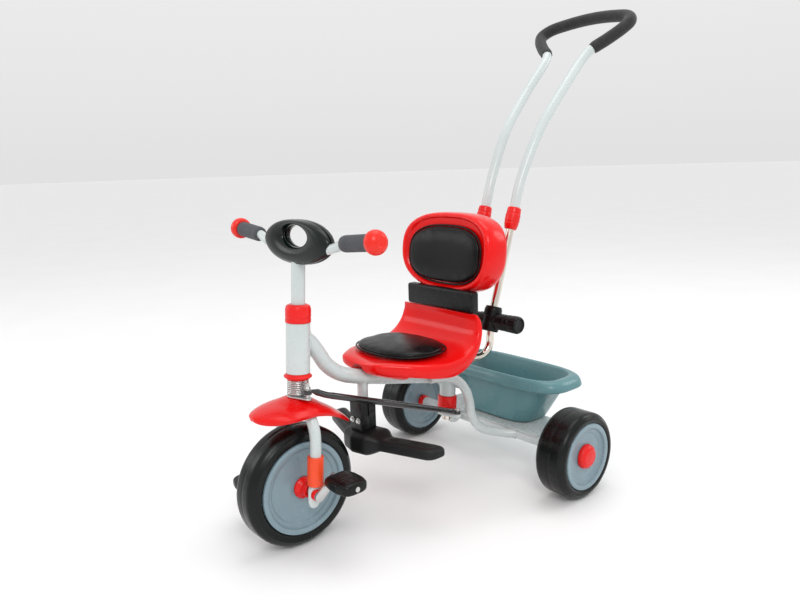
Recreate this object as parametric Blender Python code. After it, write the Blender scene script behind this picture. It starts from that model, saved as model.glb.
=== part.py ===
"""Children's tricycle with parent push handle.

World frame: +Z up, the trike drives towards -Y, +X is the rider's left.
The ground is z = 0 and the origin is the middle of the bounding box floor.
Inside this file every size is first written with the rear axle at y = 0,
then the whole trike is moved by Y_SHIFT.
"""
import bpy
import bmesh
import math
from mathutils import Vector, Matrix

for _ob in list(bpy.data.objects):
    bpy.data.objects.remove(_ob, do_unlink=True)
for _blocks in (bpy.data.meshes, bpy.data.curves, bpy.data.materials):
    for _b in list(_blocks):
        _blocks.remove(_b)

# ------------------------------------------------------------- constants
Y_SHIFT = 0.1089          # rear axle line in the world frame
GAP = 0.0003              # clearance between pieces that touch

REAR_R = 0.086            # rear wheel radius
REAR_W = 0.068            # rear tyre width
REAR_X = 0.233            # rear wheel centre plane
AXLE_Z = REAR_R
AXLE_R = 0.005

FRONT_R = 0.1078
FRONT_W = 0.058
FRONT_Y = -0.494
FRONT_Z = FRONT_R

RAKE = math.radians(4.05)             # head tube leans back
HEAD_Y0 = -0.4988                     # steering axis where it meets the floor
POST_Y0 = -0.1300                     # rear steering post axis at the floor
ARM = 0.030                           # steering arm length, both ends of rod
PUSH_X = 0.0405                       # half spacing of push handle tubes
PUSH_LEAN = math.radians(18.0)
PUSH_R = 0.0105                       # upper push tube
PUSH_LOW_R = 0.0080                   # lower push tube
COLLAR_Z = 0.5565

SEG = 16                              # facets round an ordinary tube
WHEEL_SEG = 24


# ------------------------------------------------------------- materials
def material(name, rgb, metallic=0.0, roughness=0.5, coat=0.0):
    m = bpy.data.materials.new(name)
    m.use_nodes = True
    p = m.node_tree.nodes.get("Principled BSDF")
    p.inputs["Base Color"].default_value = (rgb[0], rgb[1], rgb[2], 1.0)
    p.inputs["Metallic"].default_value = metallic
    p.inputs["Roughness"].default_value = roughness
    p.inputs["Coat Weight"].default_value = coat
    m.diffuse_color = (rgb[0], rgb[1], rgb[2], 1.0)
    return m


RED = dict(rgb=(0.72, 0.012, 0.012), roughness=0.28, coat=0.4)
ORANGE = dict(rgb=(0.80, 0.085, 0.03), roughness=0.35)
PAINT = dict(rgb=(0.58, 0.62, 0.62), roughness=0.35, coat=0.3)
BLACK = dict(rgb=(0.012, 0.012, 0.013), roughness=0.3)
BLACK_MATT = dict(rgb=(0.015, 0.015, 0.016), roughness=0.7)
GREY_GRIP = dict(rgb=(0.07, 0.07, 0.08), roughness=0.75)
DISC = dict(rgb=(0.20, 0.29, 0.37), roughness=0.35)
TUB = dict(rgb=(0.11, 0.21, 0.25), roughness=0.35)
CHROME = dict(rgb=(0.60, 0.57, 0.52), metallic=1.0, roughness=0.18)
STEEL = dict(rgb=(0.55, 0.55, 0.55), metallic=1.0, roughness=0.32)
WHITE = dict(rgb=(0.85, 0.85, 0.83), roughness=0.4)


# ------------------------------------------------------- geometry helpers
def spline(pts, n):
    """Points along a smooth curve through pts (chord-length Catmull-Rom)."""
    P = [Vector(p) for p in pts]
    P = [P[0] * 2 - P[1]] + P + [P[-1] * 2 - P[-2]]
    segs = len(P) - 3
    lens = [(P[i + 2] - P[i + 1]).length for i in range(segs)]
    total = sum(lens)
    out = []
    for k in range(n):
        d = total * k / (n - 1)
        i = 0
        while i < segs - 1 and d > lens[i]:
            d -= lens[i]
            i += 1
        t = min(1.0, d / lens[i])
        p0, p1, p2, p3 = P[i], P[i + 1], P[i + 2], P[i + 3]
        d01 = max((p1 - p0).length, 1e-9) ** 0.5
        d12 = max((p2 - p1).length, 1e-9) ** 0.5
        d23 = max((p3 - p2).length, 1e-9) ** 0.5
        m1 = (p2 - p1) + ((p1 - p0) / d01 - (p2 - p0) / (d01 + d12)) * d12
        m2 = (p2 - p1) + ((p3 - p2) / d23 - (p3 - p1) / (d12 + d23)) * d12
        t2, t3 = t * t, t * t * t
        out.append(p1 * (2 * t3 - 3 * t2 + 1) + m1 * (t3 - 2 * t2 + t)
                   + p2 * (-2 * t3 + 3 * t2) + m2 * (t3 - t2))
    return out


def sweep(path, radius, seg=SEG, side=Vector((1, 0, 0))):
    """Closed round bar along path; radius is a number or a list."""
    P = [Vector(p) for p in path]
    n = len(P)
    R = radius if isinstance(radius, (list, tuple)) else [radius] * n
    verts, faces = [], []
    prev = None
    for i, p in enumerate(P):
        if i == 0:
            t = P[1] - P[0]
        elif i == n - 1:
            t = P[-1] - P[-2]
        else:
            t = (P[i + 1] - p).normalized() + (p - P[i - 1]).normalized()
        t.normalize()
        u = side if prev is None else prev
        u = u - t * u.dot(t)
        if u.length < 1e-4:
            u = Vector((0, 0, 1)) - t * t.z
            if u.length < 1e-4:
                u = Vector((0, 1, 0)) - t * t.y
        u.normalize()
        prev = u
        v = t.cross(u)
        for k in range(seg):
            a = 2 * math.pi * k / seg
            verts.append(p + (u * math.cos(a) + v * math.sin(a)) * R[i])
    for i in range(n - 1):
        for k in range(seg):
            k2 = (k + 1) % seg
            faces.append((i * seg + k, i * seg + k2,
                          (i + 1) * seg + k2, (i + 1) * seg + k))
    faces.append(tuple(reversed(range(seg))))
    faces.append(tuple(range((n - 1) * seg, n * seg)))
    return verts, faces


def lathe(profile, seg=SEG, origin=(0, 0, 0), axis=(0, 0, 1), phase=0.0):
    """Solid of revolution.  profile is a closed loop of (r, h) pairs, or an
    open line whose two ends have r = 0."""
    O = Vector(origin)
    A = Vector(axis).normalized()
    U = Vector((0, 0, 1)) if abs(A.z) < 0.9 else Vector((1, 0, 0))
    U = (U - A * U.dot(A)).normalized()
    W = A.cross(U)
    open_line = profile[0][0] < 1e-9 and profile[-1][0] < 1e-9
    verts, rings = [], []
    for r, h in profile:
        if r < 1e-9:
            rings.append([len(verts)])
            verts.append(O + A * h)
        else:
            ring = []
            for k in range(seg):
                a = 2 * math.pi * k / seg + phase
                ring.append(len(verts))
                verts.append(O + A * h + (U * math.cos(a) + W * math.sin(a)) * r)
            rings.append(ring)
    faces = []
    m = len(rings)
    for i in range(m if not open_line else m - 1):
        a, b = rings[i], rings[(i + 1) % m]
        if len(a) == 1 and len(b) == 1:
            continue
        for k in range(seg):
            k2 = (k + 1) % seg
            if len(a) == 1:
                faces.append((a[0], b[k2], b[k]))
            elif len(b) == 1:
                faces.append((a[k], a[k2], b[0]))
            else:
                faces.append((a[k], a[k2], b[k2], b[k]))
    return verts, faces


def disc_profile(r, h0, h1, bev=0.001):
    """Plain round plug from h0 to h1 with broken edges."""
    return [(0, h0), (r - bev, h0), (r, h0 + bev), (r, h1 - bev),
            (r - bev, h1), (0, h1)]


def ring_profile(ri, ro, h0, h1, bev=0.001):
    return [(ri, h0), (ro - bev, h0), (ro, h0 + bev), (ro, h1 - bev),
            (ro - bev, h1), (ri, h1)]


def loft(sections):
    """Closed body through rings of equally many points."""
    verts, faces = [], []
    n = len(sections[0])
    for s in sections:
        verts.extend(Vector(p) for p in s)
    for i in range(len(sections) - 1):
        for k in range(n):
            k2 = (k + 1) % n
            faces.append((i * n + k, i * n + k2, (i + 1) * n + k2, (i + 1) * n + k))
    faces.append(tuple(reversed(range(n))))
    faces.append(tuple(range((len(sections) - 1) * n, len(sections) * n)))
    return verts, faces


def superellipse(a, b, p, n):
    out = []
    for k in range(n):
        t = 2 * math.pi * k / n
        c, s = math.cos(t), math.sin(t)
        out.append((a * math.copysign(abs(c) ** (2 / p), c),
                    b * math.copysign(abs(s) ** (2 / p), s)))
    return out


def box_mesh(x0, x1, y0, y1, z0, z1):
    v = [Vector((x, y, z)) for z in (z0, z1) for y in (y0, y1) for x in (x0, x1)]
    f = [(0, 2, 3, 1), (4, 5, 7, 6), (0, 1, 5, 4), (2, 6, 7, 3), (0, 4, 6, 2), (1, 3, 7, 5)]
    return v, f


def teardrop(r0, r1, dx, n=12):
    """Outline round two circles, one at the origin and one at x = dx."""
    a0 = math.acos((r0 - r1) / dx)
    out = []
    for k in range(n + 1):
        a = a0 + (2 * math.pi - 2 * a0) * k / n
        out.append((r0 * math.cos(a), r0 * math.sin(a)))
    for k in range(n + 1):
        a = -a0 + 2 * a0 * k / n
        out.append((dx + r1 * math.cos(a), r1 * math.sin(a)))
    return out


def plate(outline, z0, z1):
    return loft([[(x, y, z0) for x, y in outline], [(x, y, z1) for x, y in outline]])


def mirror_x(vf):
    v, f = vf
    return [Vector((-p[0], p[1], p[2])) for p in v], [tuple(reversed(q)) for q in f]


def transform(vf, m):
    return [m @ Vector(p) for p in vf[0]], vf[1]


def join(*parts):
    """Several loose closed bodies in one list, for use as a cutter."""
    v, f = [], []
    for pv, pf in parts:
        o = len(v)
        v.extend(pv)
        f.extend(tuple(i + o for i in q) for q in pf)
    return v, f


MATS = {}


def make(name, vf, mat, origin=(0, 0, 0), smooth=True, bevel=0.0, angle=35.0):
    """One named piece; origin is the object's origin in the axle frame."""
    o = Vector(origin)
    me = bpy.data.meshes.new(name)
    bm = bmesh.new()
    vs = [bm.verts.new(Vector(p) - o) for p in vf[0]]
    for q in vf[1]:
        bm.faces.new([vs[i] for i in q])
    bmesh.ops.remove_doubles(bm, verts=bm.verts, dist=0.00001)
    bmesh.ops.recalc_face_normals(bm, faces=bm.faces)
    if bevel > 0:
        es = [e for e in bm.edges if len(e.link_faces) == 2
              and e.calc_face_angle(0) > math.radians(angle)]
        bmesh.ops.bevel(bm, geom=es, offset=bevel, segments=1, affect='EDGES',
                        profile=0.5, clamp_overlap=True)
        bmesh.ops.recalc_face_normals(bm, faces=bm.faces)
    for fc in bm.faces:
        fc.smooth = smooth
    bm.to_mesh(me)
    bm.free()
    ob = bpy.data.objects.new(name, me)
    bpy.context.scene.collection.objects.link(ob)
    ob.location = o + Vector((0, Y_SHIFT, 0))
    if mat is not None:
        m = material("mat_" + name, **mat)
        me.materials.append(m)
        MATS[name] = m
    return ob


def boolean(ob, vf, op):
    """Cut or fuse a second body into ob and keep the result as a plain mesh."""
    tool = make("tool_tmp", vf, None, smooth=True)
    tool.hide_render = True
    tool.display_type = 'WIRE'
    mod = ob.modifiers.new("cut", 'BOOLEAN')
    mod.operation = op
    mod.solver = 'EXACT'
    mod.object = tool
    bpy.context.view_layer.update()
    dg = bpy.context.evaluated_depsgraph_get()
    me = bpy.data.meshes.new_from_object(ob.evaluated_get(dg))
    ob.modifiers.clear()
    old = ob.data
    mats = [m for m in old.materials]
    ob.data = me
    me.name = ob.name
    me.materials.clear()
    for m in mats:
        me.materials.append(m)
    bpy.data.meshes.remove(old)
    bpy.data.objects.remove(tool, do_unlink=True)
    bm = bmesh.new()
    bm.from_mesh(me)
    bmesh.ops.dissolve_degenerate(bm, edges=bm.edges, dist=0.000005)
    bmesh.ops.remove_doubles(bm, verts=bm.verts, dist=0.000005)
    for fc in bm.faces:
        fc.smooth = True
        fc.material_index = 0
    bm.to_mesh(me)
    bm.free()
    return ob


def fuse(ob, vf):
    return boolean(ob, vf, 'UNION')


def cut(ob, vf):
    return boolean(ob, vf, 'DIFFERENCE')


# frames that lean with the two parallel steering axes
S_AX = Vector((0, math.sin(RAKE), math.cos(RAKE)))
HEAD = Matrix.Translation((0, HEAD_Y0, 0)) @ Matrix.Rotation(-RAKE, 4, 'X')
POST = Matrix.Translation((0, POST_Y0, 0)) @ Matrix.Rotation(-RAKE, 4, 'X')


def head_pt(x, y, z):
    return HEAD @ Vector((x, y, z))


def post_pt(x, y, z):
    return POST @ Vector((x, y, z))


HEAD_O = head_pt(0, 0, 0.350)
POST_O = post_pt(0, 0, 0.200)

# =====================================================================
#  FRAME
# =====================================================================
HEAD_R = 0.021
HEAD_LO, HEAD_HI = 0.3080, 0.3960       # along the steering axis
STEM_R = 0.012
MAIN_R = 0.014

MAIN_PATH = [(0, -0.474, 0.372), (0, -0.452, 0.358), (0, -0.434, 0.334),
             (0, -0.418, 0.309), (0, -0.392, 0.2875), (0, -0.360, 0.2745),
             (0, -0.300, 0.259), (0, -0.220, 0.2415), (0, -0.1165, 0.2190)]

frame = make("main_frame", transform(lathe(disc_profile(HEAD_R, HEAD_LO, HEAD_HI)), HEAD), PAINT)
fuse(frame, sweep(spline(MAIN_PATH, 11), MAIN_R, 14))
# rear steering tube at the back end of the main tube
R_HEAD_LO, R_HEAD_HI = 0.1790, 0.2380
fuse(frame, transform(lathe(disc_profile(0.0165, R_HEAD_LO, R_HEAD_HI)), POST))
# short tube that hangs down and carries the footrest
FOOT_Y = -0.338
fuse(frame, sweep([(0, FOOT_Y, 0.262), (0, FOOT_Y - 0.002, 0.180)], 0.0100, 16))
# bores
cut(frame, transform(lathe(disc_profile(STEM_R + 0.0035, HEAD_LO - 0.02, HEAD_HI + 0.02)), HEAD))
cut(frame, transform(lathe(disc_profile(0.0118, R_HEAD_LO - 0.02, R_HEAD_HI + 0.02)), POST))

# rear frame: two tubes that drop from the main tube and run out along the axle
RT = 0.0095
AX_T = 0.0118


def rear_leg(sign):
    return [(sign * 0.0200, -0.1850, 0.2325), (sign * 0.0280, -0.155, 0.2310),
            (sign * 0.0325, -0.122, 0.2180), (sign * 0.0340, -0.098, 0.1920),
            (sign * 0.0338, -0.0870, 0.1640), (sign * 0.0345, -0.081, 0.1330),
            (sign * 0.0430, -0.066, 0.1050), (sign * 0.0660, -0.028, 0.0885),
            (sign * 0.0950, 0.000, 0.0860)]


rear = make("rear_frame", lathe([(0, -0.1930), (AX_T - .001, -0.1930), (AX_T, -0.1920),
                                 (AX_T, 0.1920), (AX_T - .001, 0.1930), (0, 0.1930)],
                                origin=(0, 0, AXLE_Z), axis=(1, 0, 0)), PAINT)
for s in (1, -1):
    fuse(rear, sweep(spline(rear_leg(s), 11), RT, 10))
# cross tube that ties the two legs to the rear steering tube
fuse(rear, sweep([(-0.0335, -0.1030, 0.2000), (0.0335, -0.1030, 0.2000)], 0.0065, 10,
                 side=Vector((0, 0, 1))))
# tray strip that the basket stands on
fuse(rear, box_mesh(-0.150, 0.150, -0.010, 0.095, 0.0958, 0.0988))
cut(rear, lathe(disc_profile(AXLE_R + GAP, -0.21, 0.21), origin=(0, 0, AXLE_Z), axis=(1, 0, 0), seg=16))
# clearance for the main tube and rear steering tube welded against it
cut(rear, sweep(spline(MAIN_PATH, 11), MAIN_R + GAP, 14))
cut(rear, transform(lathe(disc_profile(0.0165 + GAP, R_HEAD_LO - 0.001, R_HEAD_HI + 0.001)), POST))

make("rear_axle", lathe(disc_profile(AXLE_R, -0.2700, 0.2700), origin=(0, 0, AXLE_Z),
                        axis=(1, 0, 0), seg=16), STEEL)

# red cups pressed on the steering tubes
make("head_cup_upper", transform(lathe([(STEM_R + GAP, HEAD_HI - 0.016), (0.0152, HEAD_HI - 0.016),
                                        (0.0152, HEAD_HI + GAP), (0.0222, HEAD_HI + GAP),
                                        (0.0222, 0.4190), (0.0205, 0.4250), (0.0155, 0.4275),
                                        (STEM_R + GAP, 0.4275)]), HEAD), RED)
make("post_cup_lower", transform(lathe([(0.0103, 0.1480), (0.0180, 0.1480), (0.0196, 0.1500),
                                        (0.0196, 0.1765), (0.0186, 0.1787), (0.0115, 0.1787),
                                        (0.0115, 0.1930), (0.0103, 0.1930)]), POST), RED)
make("post_cup_upper", transform(lathe([(0.0103, 0.2240), (0.0115, 0.2240), (0.0115, R_HEAD_HI + GAP),
                                        (0.0186, R_HEAD_HI + GAP), (0.0190, 0.2405),
                                        (0.0180, 0.2420), (0.0103, 0.2420)]), POST), RED)

# =====================================================================
#  FOOTREST
# =====================================================================
FB = FOOT_Y - 0.002
br = make("footrest_clamp", box_mesh(-0.0165, 0.0165, FB - 0.0175, FB + 0.0175, 0.168, 0.223),
          BLACK, smooth=False, bevel=0.003)
cut(br, sweep([(0, FOOT_Y, 0.262), (0, FOOT_Y - 0.002, 0.180)], 0.0100 + GAP, 16))


FOOT_C = (-0.3450, 0.1460)              # y, z of the middle of the footrest
FOOT_SWEEP = math.tan(math.radians(20.0))
FOOT_HALF = 0.1550


def foot_section(x):
    """Ring in the YZ plane of the footrest at distance x from the middle.
    The wings are swept back like a shallow V."""
    a = abs(x)
    cy, cz = FOOT_C[0] + a * FOOT_SWEEP, FOOT_C[1]
    if a < 0.029:
        hw, hh = 0.0330, 0.0215
        cy = FOOT_C[0] + 0.005 + a * 0.25
    else:
        k = min(1.0, (a - 0.029) / 0.022)
        hw, hh = 0.0330 - 0.0130 * k, 0.0215 - 0.0105 * k
        if a > 0.138:
            q = min(1.0, (a - 0.138) / 0.0172)
            f = math.sqrt(max(0.0, 1 - q * q))
            hw *= 0.45 + 0.55 * f
            hh *= 0.60 + 0.40 * f
    return [(x, cy + u, cz + v) for u, v in superellipse(hw, hh, 5.0, 16)]


xs = [0.0, 0.028, 0.040, 0.051, 0.138, 0.150, 0.155]
xs = [-x for x in reversed(xs[1:])] + xs
make("footrest", loft([foot_section(x) for x in xs]), BLACK)
for s, n in ((1, "left"), (-1, "right")):
    make("footrest_bolt_" + n, lathe([(0, 0), (0.0052, 0), (0.0052, 0.0022), (0.0036, 0.0040), (0, 0.0045)],
                                     origin=(s * 0.0088, FB - 0.0175 - GAP, 0.188), axis=(0, -1, 0), seg=16), STEEL)

# =====================================================================
#  SEAT
# =====================================================================
SEAT_Z = 0.3055
# y, z of the sitting surface on the middle line, half width, thickness
SEAT_ST = [(-0.3480, 0.2860, 0.024, 0.010), (-0.3470, 0.2965, 0.040, 0.022),
           (-0.3420, 0.3030, 0.052, 0.030), (-0.3320, 0.3055, 0.063, 0.036),
           (-0.3150, 0.3060, 0.080, 0.040), (-0.2900, 0.3052, 0.100, 0.0440),
           (-0.2500, 0.3040, 0.117, 0.0520), (-0.2100, 0.3045, 0.1225, 0.0560),
           (-0.1820, 0.3085, 0.1215, 0.0490), (-0.1590, 0.3190, 0.1180, 0.0370),
           (-0.1470, 0.3330, 0.1135, 0.0290), (-0.1430, 0.3470, 0.1095, 0.0270),
           (-0.1415, 0.3580, 0.1060, 0.0250), (-0.1412, 0.3660, 0.1030, 0.0150)]


def seat_rings(st, n, dish=0.006):
    rings = []
    m = len(st)
    for i, (y, z, w, t) in enumerate(st):
        a = st[max(0, i - 1)]
        b = st[min(m - 1, i + 1)]
        tan = Vector((0, b[0] - a[0], b[1] - a[1])).normalized()
        nor = Vector((0, -tan.z, tan.y))
        if nor.z < 0 and tan.y > 0.3:
            nor.negate()
        ring = []
        for u, v in superellipse(w, t / 2, 3.2, n):
            d = dish * max(0.0, 1 - (u / max(w, 1e-6)) ** 2) * min(1.0, t / 0.024)
            lift = -d if v > 0 else 0.0
            side = (abs(u) / w) ** 3
            ring.append(Vector((u, y, z)) + nor * (v - t / 2 + lift + 0.003 * side))
        rings.append(ring)
    return rings


seat = make("seat_shell", loft(seat_rings(SEAT_ST, 18)), RED)
# channel on the underside for the main tube
cut(seat, sweep(spline(MAIN_PATH, 11), MAIN_R + GAP, 14))


def cushion(center, ax_u, ax_v, ax_n, a, b, thick, p, n, bend=0.0, sag=0.0, prof=None):
    """Low domed pad with a flat back; bend bows it across its width."""
    C, U, V, N = Vector(center), Vector(ax_u), Vector(ax_v), Vector(ax_n)
    prof = prof or [(0.95, 0.0), (1.0, 0.20), (0.985, 0.60), (0.90, 0.88), (0.62, 1.0)]
    pts = superellipse(1.0, 1.0, p, n)
    verts, faces = [], []
    for r, h in prof:
        for u, v in pts:
            d = N * (thick * h + bend * (u * r) ** 2 + sag * (v * r) ** 2)
            verts.append(C + U * (a * u * r) + V * (b * v * r) + d)
    m = len(prof)
    for i in range(m - 1):
        for k in range(n):
            k2 = (k + 1) % n
            faces.append((i * n + k, i * n + k2, (i + 1) * n + k2, (i + 1) * n + k))
    verts.append(C)
    verts.append(C + N * thick)
    for k in range(n):
        k2 = (k + 1) % n
        faces.append((len(verts) - 2, k2, k))
        faces.append((len(verts) - 1, (m - 1) * n + k, (m - 1) * n + k2))
    return verts, faces


make("seat_pad", cushion((0, -0.2425, 0.3052), (1, 0, 0), (0, 1, 0), (0, 0, 1),
                         0.0950, 0.0710, 0.0120, 2.5, 20, bend=0.0, sag=0.0), BLACK)

# backrest: a separate moulded shell above the seat
BACK_TILT = math.radians(7.0)
B_U = Vector((1, 0, 0))
B_V = Vector((0, math.sin(BACK_TILT), math.cos(BACK_TILT)))
B_N = Vector((0, -math.cos(BACK_TILT), math.sin(BACK_TILT)))
B_C = Vector((0, -0.1165, 0.4780))
BACK_A, BACK_B, BACK_T = 0.1270, 0.0805, 0.0580


def back_outline(n, p=2.7):
    out = []
    for u, v in superellipse(1.0, 1.0, p, n):
        w = 1.0 - 0.10 * max(0.0, -v) ** 1.5
        out.append((u * w, v))
    return out


def back_shell(n, grow=0.0):
    """Rounded moulding, dished in front, slightly hollow behind."""
    prof = [(0.88, -1.0), (0.965, -0.95), (1.0, -0.80), (1.0, -0.40), (0.97, -0.10), (0.90, 0.0), (0.84, -0.03)]
    pts = back_outline(n)
    verts, faces = [], []
    for r, h in prof:
        for u, v in pts:
            bow = 0.012 * (u * r) ** 2
            verts.append(B_C + B_U * ((BACK_A + grow) * u * r) + B_V * ((BACK_B + grow) * v * r)
                         + B_N * ((BACK_T + grow) * h + bow + grow))
    m = len(prof)
    for i in range(m - 1):
        for k in range(n):
            k2 = (k + 1) % n
            faces.append((i * n + k, i * n + k2, (i + 1) * n + k2, (i + 1) * n + k))
    verts.append(B_C + B_N * (-BACK_T * 0.96))
    verts.append(B_C + B_N * (-BACK_T * 0.16))
    for k in range(n):
        k2 = (k + 1) % n
        faces.append((len(verts) - 2, k2, k))
        faces.append((len(verts) - 1, (m - 1) * n + k, (m - 1) * n + k2))
    return verts, faces


back = make("backrest_shell", back_shell(20), RED)
bp_C = B_C + B_V * (-0.0050) + B_N * (-0.0045)
backpad_vf = cushion(bp_C, B_U, B_V, B_N, 0.1010, 0.0590, 0.0110, 2.7, 20, bend=0.0085)
make("backrest_pad", backpad_vf, BLACK)
# wells for the two pads, cut into the shells
WELL = [(1.0, 0.0), (1.0, 1.0)]
cut(back, cushion(bp_C - B_N * 0.0004, B_U, B_V, B_N, 0.1014, 0.0594, 0.0200, 2.7, 20, bend=0.0085, prof=WELL))
cut(seat, cushion((0, -0.2425, 0.3048), (1, 0, 0), (0, 1, 0), (0, 0, 1), 0.0954, 0.0714, 0.030, 2.5, 20, prof=WELL))

# black block that ties the backrest to the seat lip; the shell stands in it
brk = make("backrest_bracket", box_mesh(-0.0930, 0.0930, -0.1395, -0.1180, 0.3668, 0.4090), BLACK,
           bevel=0.0025)
cut(brk, back_shell(20, grow=0.0004))

# =====================================================================
#  BASKET
# =====================================================================
def basket_ring(a, y0, y1, z, n, p=3.6):
    cy, b = (y0 + y1) / 2, (y1 - y0) / 2
    return [(u, cy + v, z) for u, v in superellipse(a, b, p, n)]


BN = 20
outer = [(0.0900, 0.0170, 0.1120, 0.0993), (0.0970, 0.0115, 0.1170, 0.1030),
         (0.1480, 0.0110, 0.1350, 0.1920), (0.1690, 0.0035, 0.1470, 0.1815), (0.1740, 0.0010, 0.1500, 0.1830),
         (0.1700, 0.0035, 0.1475, 0.1960), (0.1560, 0.0110, 0.1380, 0.2045)]
inner = [(0.1440, 0.0150, 0.1310, 0.2000), (0.0935, 0.0145, 0.1130, 0.1050), (0.0870, 0.0190, 0.1090, 0.1030)]
make("basket", loft([basket_ring(a, y0, y1, z, BN) for a, y0, y1, z in outer + inner]), TUB)

# =====================================================================
#  FORK, SPRING, MUDGUARD  (turn with the handlebar, slide on the spring)
# =====================================================================
FO = HEAD_O
LEG_X = 0.0550
fork = make("fork", transform(lathe([(0, 0.2340), (0.0150, 0.2340), (0.0160, 0.2350), (0.0160, 0.2545),
                                     (STEM_R, 0.2545), (STEM_R, 0.3800), (0.0082, 0.3800),
                                     (0.0082, 0.3000), (0, 0.3000)]), HEAD), PAINT, origin=FO)


def fork_leg(s):
    return [head_pt(s * 0.004, 0, 0.2420), head_pt(s * 0.022, 0, 0.2425), head_pt(s * 0.040, 0, 0.2350),
            head_pt(s * 0.0520, 0, 0.2150), head_pt(s * LEG_X, 0, 0.1930), head_pt(s * LEG_X, 0, 0.1720),
            head_pt(s * LEG_X, 0, 0.1180)]


for s in (1, -1):
    fuse(fork, sweep(spline(fork_leg(s), 8), 0.0098, 10))
    fuse(fork, transform(box_mesh(s * LEG_X - 0.0045, s * LEG_X + 0.0045, -0.0135, 0.0085, 0.0830, 0.1215), HEAD))
    cut(fork, lathe(disc_profile(0.0062 + GAP, s * LEG_X - 0.02, s * LEG_X + 0.02), seg=16,
                    origin=(0, FRONT_Y, FRONT_Z), axis=(1, 0, 0)))
    # a turned seat for the moulded sleeve
    nm = "left" if s > 0 else "right"
    sl = make("fork_sleeve_" + nm, transform(lathe([(0.0101, 0.1225), (0.0136, 0.1225), (0.0141, 0.1235),
                                                    (0.0141, 0.1720), (0.0134, 0.1735), (0.0101, 0.1735)],
                                                   origin=(s * LEG_X, 0, 0)), HEAD), ORANGE, origin=FO)
    make("axle_bush_" + nm, lathe([(0.0065, LEG_X + 0.0050), (0.0090, LEG_X + 0.0050), (0.0098, LEG_X + 0.0060),
                                   (0.0098, LEG_X + 0.0136), (0.0090, LEG_X + 0.0143), (0.0065, LEG_X + 0.0143)],
                                  seg=16, origin=(0, FRONT_Y, FRONT_Z), axis=(s, 0, 0)), RED, origin=FO)

# steering arm: plate under the spring, pin for the rod on the rider's left
arm = make("steering_arm", transform(plate(teardrop(0.0190, 0.0070, ARM, 10), 0.2662, 0.2692), HEAD), STEEL, origin=FO)
fuse(arm, transform(lathe(disc_profile(0.0030, 0.2680, 0.2960, 0.0005), seg=16, origin=(ARM, 0, 0)), HEAD))
cut(arm, transform(lathe(disc_profile(STEM_R + GAP, 0.25, 0.30)), HEAD))


GUARD_W = 0.0560


def guard_line(t):
    """y, z and half width of the mudguard at t (0 front tip .. 1 rear tip)."""
    y = -0.0900 + t * 0.1980
    if y < 0:
        z = 0.2620 - 0.0170 * (-y / 0.0900) ** 1.8
    else:
        z = 0.2620 - 0.0570 * (y / 0.1080) ** 1.7
    e = abs(2 * t - 0.86) / (0.86 if t < 0.43 else 1.14)
    w = GUARD_W * max(0.0, 1 - e ** (2.6 if t < 0.43 else 1.7)) ** 0.55
    return y, z, w


def mudguard(nu, nv, thick):
    top, bot = [], []
    for i in range(nu + 1):
        t = 0.5 - 0.5 * math.cos(math.pi * i / nu)
        y, z, w = guard_line(t)
        w = max(w, 0.010)
        rt, rb = [], []
        for k in range(nv + 1):
            s = math.sin(math.pi / 2 * (-1 + 2 * k / nv))
            x = w * s
            drop = 0.0130 * abs(s) ** 2.4 * (w / GUARD_W)
            rt.append(head_pt(x, y, z - drop))
            rb.append(head_pt(x * (1 - 0.0022 / w), y * 0.985, z - drop - thick))
        top.append(rt)
        bot.append(rb)
    verts, faces = [], []
    m = nv + 1
    for r in top:
        verts.extend(r)
    for r in bot:
        verts.extend(r)
    o = (nu + 1) * m
    for i in range(nu):
        for k in range(nv):
            faces.append((i * m + k, i * m + k + 1, (i + 1) * m + k + 1, (i + 1) * m + k))
            faces.append((o + i * m + k, o + (i + 1) * m + k, o + (i + 1) * m + k + 1, o + i * m + k + 1))
    for i in range(nu):
        faces.append((i * m, (i + 1) * m, o + (i + 1) * m, o + i * m))
        faces.append((i * m + nv, o + i * m + nv, o + (i + 1) * m + nv, (i + 1) * m + nv))
    for k in range(nv):
        faces.append((k, o + k, o + k + 1, k + 1))
        e = nu * m
        faces.append((e + k, e + k + 1, o + e + k + 1, o + e + k))
    return verts, faces


guard = make("mudguard", mudguard(10, 6, 0.0028), RED, origin=FO)
cut(guard, transform(lathe(disc_profile(STEM_R + GAP, 0.23, 0.30)), HEAD))

# coil spring between the arm plate and the lower bush
SP_LO, SP_HI, SP_R, SP_W = 0.2712, 0.2950, 0.0176, 0.0016
coil = []
TURNS = 5.0
NS = 40
for i in range(NS + 1):
    a = 2 * math.pi * TURNS * i / NS
    h = SP_LO + (SP_HI - SP_LO) * i / NS
    coil.append(head_pt(SP_R * math.cos(a), SP_R * math.sin(a), h))
make("suspension_spring", sweep(coil, SP_W, 5), STEEL, origin=FO)

# red flanged bush that turns in the foot of the head tube
make("head_bush_lower", transform(lathe([(STEM_R + GAP, 0.2970), (0.0205, 0.2970), (0.0212, 0.2985),
                                         (0.0245, 0.3015), (0.0245, 0.3030), (0.0212, 0.3060),
                                         (0.0210, HEAD_LO - GAP), (0.0152, HEAD_LO - GAP),
                                         (0.0152, 0.3240), (STEM_R + GAP, 0.3240)]), HEAD), RED, origin=FO)

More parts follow.
